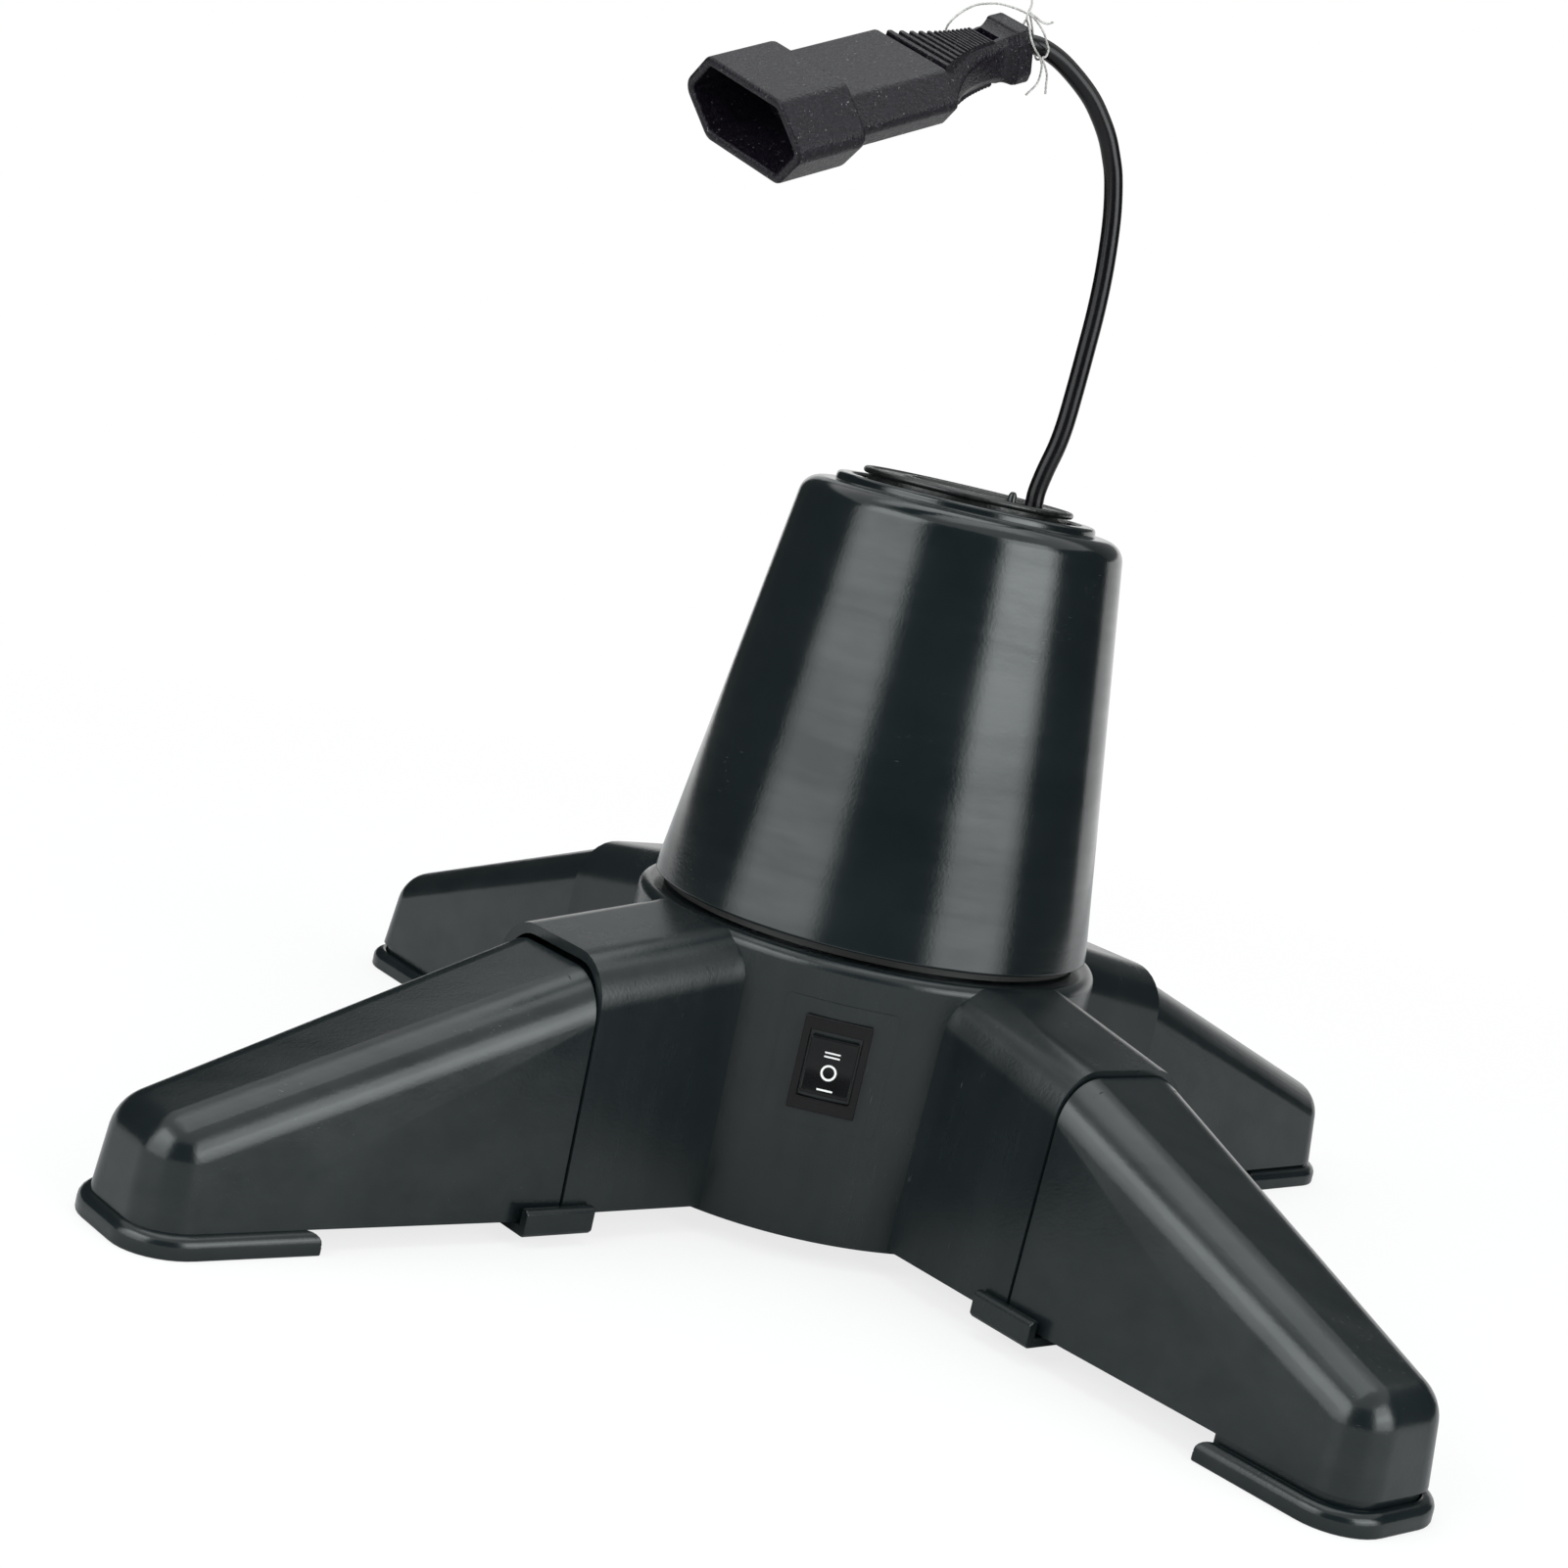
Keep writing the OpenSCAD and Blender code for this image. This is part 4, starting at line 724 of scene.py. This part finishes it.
def trough(name, start, end, low, top_in, top_out, half, wall):
    """An upside-down trough along X: drafted sides and rounded ridges, open below and at
    both ends."""
    bpy.ops.object.select_all(action="DESELECT")
    bpy.ops.mesh.primitive_cube_add(
        size=1, location=((start + end) / 2 * MM, 0, (low + top_in) / 2 * MM),
        scale=((end - start) * MM, 2 * half * MM, (top_in - low) * MM))
    piece = bpy.context.object
    piece.name = name
    bpy.ops.object.transform_apply(location=True, rotation=True, scale=True)
    mid_x, mid_z = (start + end) / 2 * MM, (low + top_in) / 2 * MM
    edit()
    select("VERT", lambda v: v.co.z > mid_z)
    narrow = 1 - (top_in - low) * math.tan(math.radians(wall_draft)) / half
    bpy.ops.transform.resize(value=(1, narrow, 1), center_override=(0, 0, 0))
    select("VERT", lambda v: v.co.z > mid_z and v.co.x > mid_x)
    bpy.ops.transform.translate(value=(0, 0, (top_out - top_in) * MM))
    select("EDGE", lambda e: all(v.co.z > mid_z for v in e.verts)
           and abs(e.verts[0].co.x - e.verts[1].co.x) > 0.001)
    bpy.ops.mesh.bevel(offset=ridge_r * MM, segments=8, affect="EDGES")
    select("FACE", lambda f: f.normal.z < -0.9 or abs(f.normal.x) > 0.9)
    bpy.ops.mesh.delete(type="FACE")
    leave()
    apply(piece, "SOLIDIFY", thickness=wall * MM, offset=-1, use_even_offset=True)
    return piece


def copied(piece, name):
    """A copy of a finished form, with a mesh of its own."""
    twin = piece.copy()
    twin.data = piece.data.copy()
    twin.name = name
    bpy.context.scene.collection.objects.link(twin)
    return twin


leg_angles = {"front_right": -45, "back_right": 45, "back_left": 135, "front_left": 225}
# an arm starts inside the hub, where a core is cut away, and falls to the seam with its leg
seam, arm_start, arm_low, arm_top = 88.3, 44.0, 6.3, 61.0
arm_slope = (deck_z - 0.3 - arm_top) / (seam - hub_r)
arm = trough("arm", arm_start, seam, arm_low, arm_top + arm_slope * (seam - arm_start),
             arm_top, 20.8, 2.4)
cut(arm, turned("core", oblong(0, 53.6, -5, 90), 96))
arms = [arm, *(copied(arm, "arm") for _ in range(3))]
for arm, angle in zip(arms, leg_angles.values()):
    settle(arm, Matrix.Rotation(math.radians(angle), 4, "Z"))
hub = join([hub, *arms])
soften(hub, 0.35, 2, 60)
pad_r, pad_half, pad_low, pad_top = 55.02, 12.5, 30.8, 58.8
pad = turned("pad", oblong(54.0, pad_r, pad_low, pad_top), 180)
pad_line = rounded(oblong(-pad_half, pad_half, pad_low, pad_top), 1.2, 4)
cut(pad, drawn("pad_outline", pad_line, -60, -40, "Y"), "INTERSECT")
hub = join([hub, pad])
dress(hub,
      polished("dark_green_hub", green_dark, green_light, 0.24, 0.09, (90, 90, 12), bump=0.06,
               scratches=0.8),
      "stand", ["hub_housing"], 40)

# ---------------------------------------------------------------- legs
# Four hollow legs of the same plastic, pushed into the arms by a tongue, with cross ribs
# inside; each has settled a little differently in its socket.
leg_start, toe_x, leg_low, leg_top, leg_fall = seam + 0.35, 179.5, 6.7, 59.6, 0.378
seam_half, toe_half, toe_plan_r, toe_ball_r = 20.3, 15.8, 10.5, 10
leg_wall, tongue_l, rib_t, skirt_l, skirt_wall = 2.2, 14, 1.6, 34, 1.1
leg_drop = {"front_right": 0, "back_right": 1.2, "back_left": 0, "front_left": 1.9}


def side_y(x, inset=0.0):
    """Half width of a leg's lower edge at a distance from the axis."""
    return seam_half - (seam_half - toe_half) * (x - seam) / (toe_x - seam) - inset


def toe_plan(x, grow, radius):
    """A leg's outline from above, grown all round, from x out to the toe."""
    corners = [(x, side_y(x) + grow), (toe_x + grow, toe_half + grow),
               (toe_x + grow, -toe_half - grow), (x, -side_y(x) - grow)]
    return rounded(corners, [0, radius, radius, 0], 10)


def leg_form(name, inset, from_x, low):
    """A leg's solid: its plan below, a ridge's disc at each side of the seam and a ball at
    each side of the toe, with one tight skin drawn over them."""
    thin = 0.02
    top_half = seam_half - (leg_top - leg_low) * math.tan(math.radians(wall_draft))
    disc_z = leg_top - ridge_r - leg_fall * (from_x - seam)
    ball_x = toe_x - 0.9 - toe_ball_r
    ball_z = leg_top - leg_fall * (ball_x - seam) - toe_ball_r * math.sqrt(1 + leg_fall ** 2)
    parts = [drawn(name, toe_plan(from_x, -inset, toe_plan_r - inset), low, low + thin, "Z")]
    for side in (-1, 1):
        bpy.ops.mesh.primitive_cylinder_add(
            vertices=64, radius=(ridge_r - inset) * MM, depth=thin * MM,
            location=(from_x * MM, side * (top_half - ridge_r) * MM, disc_z * MM),
            rotation=(0, math.pi / 2, 0))
        parts.append(bpy.context.object)
        bpy.ops.mesh.primitive_uv_sphere_add(
            segments=48, ring_count=24, radius=(toe_ball_r - inset) * MM,
            location=(ball_x * MM, side * (toe_half - 0.8 - toe_ball_r) * MM, ball_z * MM))
        parts.append(bpy.context.object)
    for part in parts:
        settle(part)
    piece = join(parts)
    edit()
    bpy.ops.mesh.select_all(action="SELECT")
    bpy.ops.mesh.convex_hull(use_existing_faces=False, face_threshold=math.radians(1),
                             shape_threshold=math.radians(40))
    leave()
    return piece


leg = leg_form("leg", 0, leg_start, leg_low)
cut(leg, leg_form("hollow", leg_wall, leg_start - 1, leg_low - 0.5))


def arch(foot_half, foot_z, top_half, top_z, r):
    """An open outline of (y, z) that rises from one side, runs over the top and comes down."""
    return rounded([(foot_half, foot_z), (top_half, top_z), (-top_half, top_z),
                    (-foot_half, foot_z)], [0, r, r, 0])


parts = [leg]
for x in (110.6, 132.6, 154.6):
    top = leg_top - leg_fall * (x - seam) - 2.0
    w = side_y(x, leg_wall - 0.1)
    lean = (top - leg_low) * 0.0227
    rib_line = arch(w - 0.1, leg_low + 4, w - lean, top, 8.3)
    parts.append(drawn("rib", rib_line, x, x + rib_t))
outer = arch(18.0, leg_low + 6, 16.9, 58, 7.6)
inner = arch(16.0, leg_low + 6, 15.0, 56.4, 5.8)
parts.append(drawn("tongue", outer + inner[::-1], seam - tongue_l, seam + 4))
skirt_out = toe_plan(toe_x - skirt_l, -1.2, 9.3)
skirt_in = toe_plan(toe_x - skirt_l, -1.2 - skirt_wall, 9.3 - skirt_wall)
parts.append(drawn("skirt", skirt_out + skirt_in[::-1], leg_low - 2.8, leg_low + 1, "Z"))
leg = join(parts)
soften(leg, 0.3, 2, 60)
for place, angle in leg_angles.items():
    piece = copied(leg, "leg_" + place + "_shell")
    settle(piece, Matrix.Rotation(math.radians(angle), 4, "Z")
           @ Matrix.Translation((0, 0, -leg_drop[place] * MM)))
    dress(piece,
          polished("dark_green_leg_" + place, green_dark, green_light, 0.21, 0.09,
                   (14, 110, 110), -math.radians(angle), 0.06, 1.0),
          "stand", ["leg_" + place], 40)
bpy.data.objects.remove(leg)

# ---------------------------------------------------------------- foot shoes
# Trays with a rounded, bulging rim that the four toes stand in, open at the rear.
shoe_from, shoe_out, shoe_t, shoe_h, rim_w = toe_x - 36, 2.1, 2, 4.8, 3.0
shoe = drawn("shoe", toe_plan(shoe_from, shoe_out, toe_plan_r + shoe_out), 0, shoe_t, "Z")
edit()
select("FACE", lambda f: f.normal.z > 0.9)
bpy.ops.mesh.inset(thickness=rim_w * MM)
# the rim is raised everywhere but at the rear, and rounded along its outer edge
select("FACE", lambda f: f.normal.z > 0.9 and f.calc_area() < 0.0003
       and f.calc_center_median().x > (shoe_from + rim_w) * MM)
bpy.ops.mesh.extrude_region_move(TRANSFORM_OT_translate={"value": (0, 0, (shoe_h - shoe_t) * MM)})
heart = Vector((toe_x - 20, 0, 0)) * MM
select("EDGE", lambda e: all(v.co.z > (shoe_h - 0.1) * MM for v in e.verts)
       and any(abs(f.normal.z) < 0.1 and f.normal.dot(f.calc_center_median() - heart) > 0
               for f in e.link_faces))
bpy.ops.mesh.bevel(offset=2.3 * MM, segments=5, affect="EDGES")
leave()
soften(shoe, 0.5, 2, 50)
for place, angle in leg_angles.items():
    piece = copied(shoe, "shoe_" + place)
    settle(piece, Matrix.Rotation(math.radians(angle), 4, "Z"))
    dress(piece,
          polished("dark_green_shoe_" + place, green_dark, green_light, 0.19, 0.08,
                   (14, 110, 110), -math.radians(angle), 0.05, 0.8),
          "stand", ["foot_" + place], 40)
bpy.data.objects.remove(shoe)

# ---------------------------------------------------------------- lock clips
# U-shaped clips pushed up over the lower edges of arm and leg, where the two meet.
clip_l, clip_under = 17.5, 2.3
half = [(15.6, 2.2), (15.6, 5.0), (17.2, 5.0), (17.2, 2.2), (21.2, 2.2), (21.2, 6.0),
        (22.7, 6.0), (23.5, 5.2), (23.5, 0.8), (22.7, 0.0)]
clip_x = seam + 1.675
clip = drawn("clip", half + [(-y, z) for y, z in reversed(half)],
             clip_x - clip_l / 2, clip_x + clip_l / 2)
soften(clip, 0.35, 2, 40)
for place, angle in leg_angles.items():
    floor_z = min(arm_low, leg_low - leg_drop[place]) - clip_under
    piece = copied(clip, "clip_" + place + "_u")
    settle(piece, Matrix.Rotation(math.radians(angle), 4, "Z")
           @ Matrix.Translation((0, 0, floor_z * MM)))
    dress(piece,
          polished("dark_green_clip_" + place, green_dark, green_light, 0.24, 0.08,
                   (14, 110, 110), -math.radians(angle), 0.05, 0.6),
          "stand", ["clip_" + place], 40)
bpy.data.objects.remove(clip)

# ---------------------------------------------------------------- rocker switch
# Small black panel rocker: a bezel with a deep window, a dished rocker on two pins, and
# printed marks for its three positions.
switch_z, bezel_back, bezel_front, well_back, window_back = 44.8, -54.5, -55.9, -38.5, -45.9
bezel_w, bezel_h, window_w, window_h = 15, 21, 11.7, 15
frame_w = (bezel_w - window_w) / 2


def switch_block(name, width, height, low, high):
    """An upright block along Y, in the middle of the switch."""
    face = oblong(-width / 2, width / 2, switch_z - height / 2, switch_z + height / 2)
    return drawn(name, face, low, high, "Y")


bpy.ops.object.select_all(action="DESELECT")
bpy.ops.mesh.primitive_cube_add(
    size=1, location=(0, (bezel_back + bezel_front) / 2 * MM, switch_z * MM),
    scale=(bezel_w * MM, (bezel_back - bezel_front) * MM, bezel_h * MM))
bezel = bpy.context.object
bezel.name = "switch_bezel"
bpy.ops.object.transform_apply(location=True, rotation=True, scale=True)
edit()
select("FACE", lambda f: f.normal.y < -0.9)
bpy.ops.mesh.inset(thickness=frame_w * MM)
bpy.ops.transform.resize(value=(1, 1, window_h / (bezel_h - 2 * frame_w)),
                         center_override=(0, 0, switch_z * MM))
bpy.ops.mesh.extrude_region_move(TRANSFORM_OT_translate={"value": (0, 1.2 * MM, 0)})
leave()
well = switch_block("well", 13, 19, bezel_back - 0.1, well_back)
for piece in (bezel, well):
    cut(piece, switch_block("window", window_w, window_h, -60, window_back))
bezel = join([bezel, well])
soften(bezel, 0.35, 3, 50)
dress(bezel,
      grained("black_switch_bezel", (0.0036, 0.0033, 0.0037), (0.0062, 0.0058, 0.0065),
              (0.30, 0.42), 1300, 60, 0.12, specular=0.22),
      "stand", ["switch_housing"])
face_y = bezel_front - 0.5
profile = [(face_y + 0.4, -6.5), (face_y, -6.1)]
profile += [(face_y + 1.1 * math.cos(math.radians(90 * z / 6.1)) ** 1.3, z)
            for z in (-5.2, -4.2, -3.2, -2.2, -1.1, 0, 1.1, 2.2, 3.2, 4.2, 5.2)]
profile += [(face_y, 6.1), (face_y + 0.4, 6.5), (-53.2, 5.8), (-50.0, 2), (-50.0, -2),
            (-53.2, -5.8)]
rocker = drawn("rocker", [(y, z + switch_z) for y, z in profile], -5.3, 5.3)
soften(rocker, 0.3, 2, 50)
rocker = join([rocker, pin("pivot", 1.0, -6.4, 6.4, (-52.6, switch_z))])
rocker.name = "switch_rocker_face"
dress(rocker,
      grained("black_switch_rocker", (0.0032, 0.0032, 0.0036), (0.0060, 0.0060, 0.0066),
              (0.24, 0.34), 900, 50, 0.06, specular=0.26),
      "rocker", ["switch_rocker"], 40)

# the printing follows the dished face: flat marks crossed with the face, a hair proud of it
marks = []
mark_half, line_half, ring_drop, proud_by = 1.75, 0.19, 1.3, 0.05
for z in (3.15, 2.2, -5.1):
    bar = oblong(-mark_half, mark_half, switch_z + z - line_half, switch_z + z + line_half)
    marks.append(drawn("bar", rounded(bar, 0.12, 3), face_y - 1, face_y + 1.5, "Y"))
ring = turned("ring", oblong(1.28, mark_half, -2.5, 2.5), 64)
settle(ring, Matrix.Translation((0, face_y * MM, (switch_z - ring_drop) * MM))
       @ Matrix.Rotation(math.radians(90), 4, "X"))
marks = join([*marks, ring])
proud = [(y - proud_by, z + switch_z) for y, z in profile]
cut(marks, drawn("proud_face", proud, -5.3, 5.3), "INTERSECT")
marks.name = "switch_marks"
dress(marks,
      grained("white_printing_ink", (0.66, 0.66, 0.65), (0.80, 0.80, 0.79), (0.45, 0.6),
              1500, 400, 0.05),
      "rocker")

# ---------------------------------------------------------------- pieces inside and below
# The pole tube, turntable, bearing, gears, motor and slip rings keep their shape from the
# construction; each gets the finish of what it is made of.
satin_black = grained("satin_black_moulding", (0.006, 0.0055, 0.0055), (0.013, 0.012, 0.012),
                      (0.38, 0.52), 800, 50, 0.2)
zinc = grained("zinc_plated_steel", (0.50, 0.51, 0.53), (0.64, 0.65, 0.67), (0.26, 0.42), 600,
               120, 0.1, 1.0, (1, 1, 6))
balls = grained("polished_ball_steel", (0.66, 0.67, 0.69), (0.75, 0.76, 0.78), (0.08, 0.16),
                400, 200, 0.03, 1.0)
brass = grained("rolled_brass", (0.68, 0.49, 0.20), (0.78, 0.60, 0.28), (0.22, 0.38), 700, 150,
                0.12, 1.0, (4, 1, 1))
nylon = grained("natural_nylon", (0.68, 0.65, 0.57), (0.80, 0.78, 0.71), (0.42, 0.55), 900, 40,
                0.08)
laminate = grained("brown_paper_laminate", (0.20, 0.10, 0.045), (0.34, 0.19, 0.095),
                   (0.38, 0.5), 500, 160, 0.1, 0.0, (1, 1, 12))
cream = grained("cream_block_plastic", (0.70, 0.67, 0.59), (0.82, 0.80, 0.73), (0.40, 0.52),
                900, 60, 0.1)
inside = {
    satin_black: ["base_plate", "cord_inlet_bush", "turntable"],
    flex_skin: ["inner_flex"],
    zinc: ["base_screws", "motor_can", "motor_flange", "motor_screws", "motor_shaft",
           "lower_race", "upper_race", "turntable_screws", "retaining_ring", "pole_tube"],
    balls: ["bearing_balls"],
    brass: ["switch_terminals", "slip_ring_inner", "slip_ring_outer", "contact_fingers",
            "connector_contacts"],
    nylon: ["motor_pinion", "main_gear", "journal_bush", "ball_cage"],
    laminate: ["slip_ring_disc"],
    cream: ["terminal_block", "contact_block"],
}
for material, nodes in inside.items():
    for node in nodes:
        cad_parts[node].data.materials.clear()
        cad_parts[node].data.materials.append(material)

# ---------------------------------------------------------------- floor, backdrop and lights
# A white table that runs back into white, a tall softbox at each side and one above, and
# cards of black and grey that only the gloss of the plastic shows.


def rays_seen(tree):
    """A node that gives 1 for the camera's, mirrored and refracted rays, 0 for the others."""
    path = add_node(tree, "LightPath")
    first, second = (add_node(tree, "Math", {"operation": "MAXIMUM"}) for _ in range(2))
    wire(
        tree,
        (path, "Is Camera Ray", first, 0),
        (path, "Is Glossy Ray", first, 1),
        (first, "Value", second, 0),
        (path, "Is Transmission Ray", second, 1),
    )
    return second


bpy.ops.object.select_all(action="DESELECT")
bpy.ops.mesh.primitive_plane_add(size=8)
floor = bpy.context.object
floor.name = "floor"
paper, tree, shader, place = new_finish("white_paper_floor", 0.9, color=(0.86, 0.86, 0.86))
glow = add_node(tree, "Emission", Color=(1, 1, 1, 1), Strength=1.0)
blend = add_node(tree, "MixShader")
share = add_node(tree, "Math", {"operation": "MULTIPLY"})
away = add_node(tree, "VectorMath", {"operation": "LENGTH"})
spread = add_node(tree, "MapRange", From_Min=0.26, From_Max=0.62, To_Min=0.78, To_Max=1.0)
wire(
    tree,
    (place, "Object", away, 0),
    (away, "Value", spread, "Value"),
    (rays_seen(tree), "Value", share, 0),
    (spread, "Result", share, 1),
    (share, "Value", blend, "Fac"),
    (shader, "BSDF", blend, 1),
    (glow, "Emission", blend, 2),
    (blend, "Shader", tree.nodes["Material Output"], "Surface"),
)
floor.data.materials.append(paper)


def round_about(angle, far, height):
    """A place round the stand: angle from straight in front, to the right, and distance."""
    return Vector((far * math.sin(math.radians(angle)), -far * math.cos(math.radians(angle)),
                   height))


def set_card(card, finish):
    """Gives a card its finish, and lets only mirrored rays see it."""
    card.visible_camera = card.visible_shadow = card.visible_diffuse = False
    card.data.materials.append(finish)


black_card, grey_card, dark_card, light_card = (
    new_finish(name, 0.9, color=(grey, grey, grey))[0] for name, grey in (
        ("black_card", 0.008), ("grey_card", 0.5), ("dark_grey_card", 0.13),
        ("light_grey_card", 0.6)))
for name, middle, size, finish in (
    ("card_front", round_about(5, 1.36, 0.62), (1.54, 1.2), black_card),
    ("card_left", round_about(-118, 1.0, 0.42), (1.82, 0.84), black_card),
    ("card_right", round_about(103, 1.0, 0.42), (0.96, 0.84), black_card),
    ("card_behind", Vector((0.72, 1.35, 1.05)), (1.9, 1.3), dark_card),
    ("card_behind_left", Vector((-0.48, 1.35, 1.05)), (0.5, 1.3), grey_card),
):
    bpy.ops.mesh.primitive_plane_add(size=1)
    card = bpy.context.object
    card.name = name
    card.scale = (*size, 1)
    card.location = middle
    aim = Vector((middle.x if "behind" in name else 0, 0, middle.z)) - middle
    card.rotation_euler = aim.to_track_quat("Z", "Y").to_euler()
    set_card(card, finish)

# a round card on the table, in the gloss of the walls above it
bpy.ops.mesh.primitive_circle_add(vertices=64, radius=0.75, fill_type="NGON",
                                  location=(0, 0, 0.0004))
card = bpy.context.object
card.name = "card_under"
set_card(card, light_card)

# the tall boxes are dimmer towards their lower edges, by the factor below, and change by
# the factor above in their upper half; each box fades at its sides
for name, middle, size, strength, below, above in (
    ("softbox_left", round_about(-47.5, 1.1, 0.56), (1.146, 1.06), 3.1, 0.62, 1.45),
    ("softbox_right", round_about(53, 1.2, 0.56), (1.02, 1.06), 6.0, 0.42, 0.62),
    ("softbox_top", Vector((-0.1, 0.1, 1.6)), (1.7, 1.3), 1.7, 1.0, 1.0),
):
    lamp = bpy.data.lights.new(name, "AREA")
    lamp.shape = "RECTANGLE"
    lamp.size, lamp.size_y = size
    lamp.energy = strength * math.pi * size[0] * size[1]
    lamp.color = (0.93, 0.99, 1.0)
    lamp.use_nodes = True
    tree = lamp.node_tree
    spot, across = add_node(tree, "NewGeometry"), add_node(tree, "SeparateXYZ")
    fade = add_node(tree, "MapRange", From_Min=0.18, From_Max=0.40, To_Min=below)
    crown = add_node(tree, "MapRange", From_Min=0.42, From_Max=0.62, To_Min=1.0, To_Max=above)
    height = add_node(tree, "Math", {"operation": "MULTIPLY"})
    off = add_node(tree, "Math", {"operation": "SUBTRACT"})
    off.inputs[1].default_value = 0.5
    gap = add_node(tree, "Math", {"operation": "ABSOLUTE"})
    side = add_node(tree, "MapRange", {"interpolation_type": "SMOOTHSTEP"}, From_Min=0.26,
                    From_Max=0.5, To_Min=1.0, To_Max=0.25)
    whole = add_node(tree, "Math", {"operation": "MULTIPLY"})
    wire(
        tree,
        (spot, "Parametric", across, "Vector"),
        (across, "Y", fade, "Value"),
        (across, "Y", crown, "Value"),
        (crown, "Result", height, 0),
        (fade, "Result", height, 1),
        (across, "X", off, 0),
        (off, "Value", gap, 0),
        (gap, "Value", side, "Value"),
        (side, "Result", whole, 0),
        (height, "Value", whole, 1),
        (whole, "Value", tree.nodes["Emission"], "Strength"),
    )
    box = bpy.data.objects.new(name, lamp)
    bpy.context.scene.collection.objects.link(box)
    box.location = middle
    aim = Vector((0, 0, middle.z if name != "softbox_top" else 0)) - middle
    box.rotation_euler = aim.to_track_quat("-Z", "Y").to_euler()
    box.visible_camera = False

world = bpy.data.worlds.new("white_room")
bpy.context.scene.world = world
world.use_nodes = True
tree = world.node_tree
sky = tree.nodes["Background"]
level = add_node(tree, "MapRange", To_Min=0.6, To_Max=1.0)
wire(tree, (rays_seen(tree), "Value", level, "Value"), (level, "Result", sky, "Strength"))
sky.inputs["Color"].default_value = (1, 1, 1, 1)
bpy.context.scene.view_settings.view_transform = "Standard"
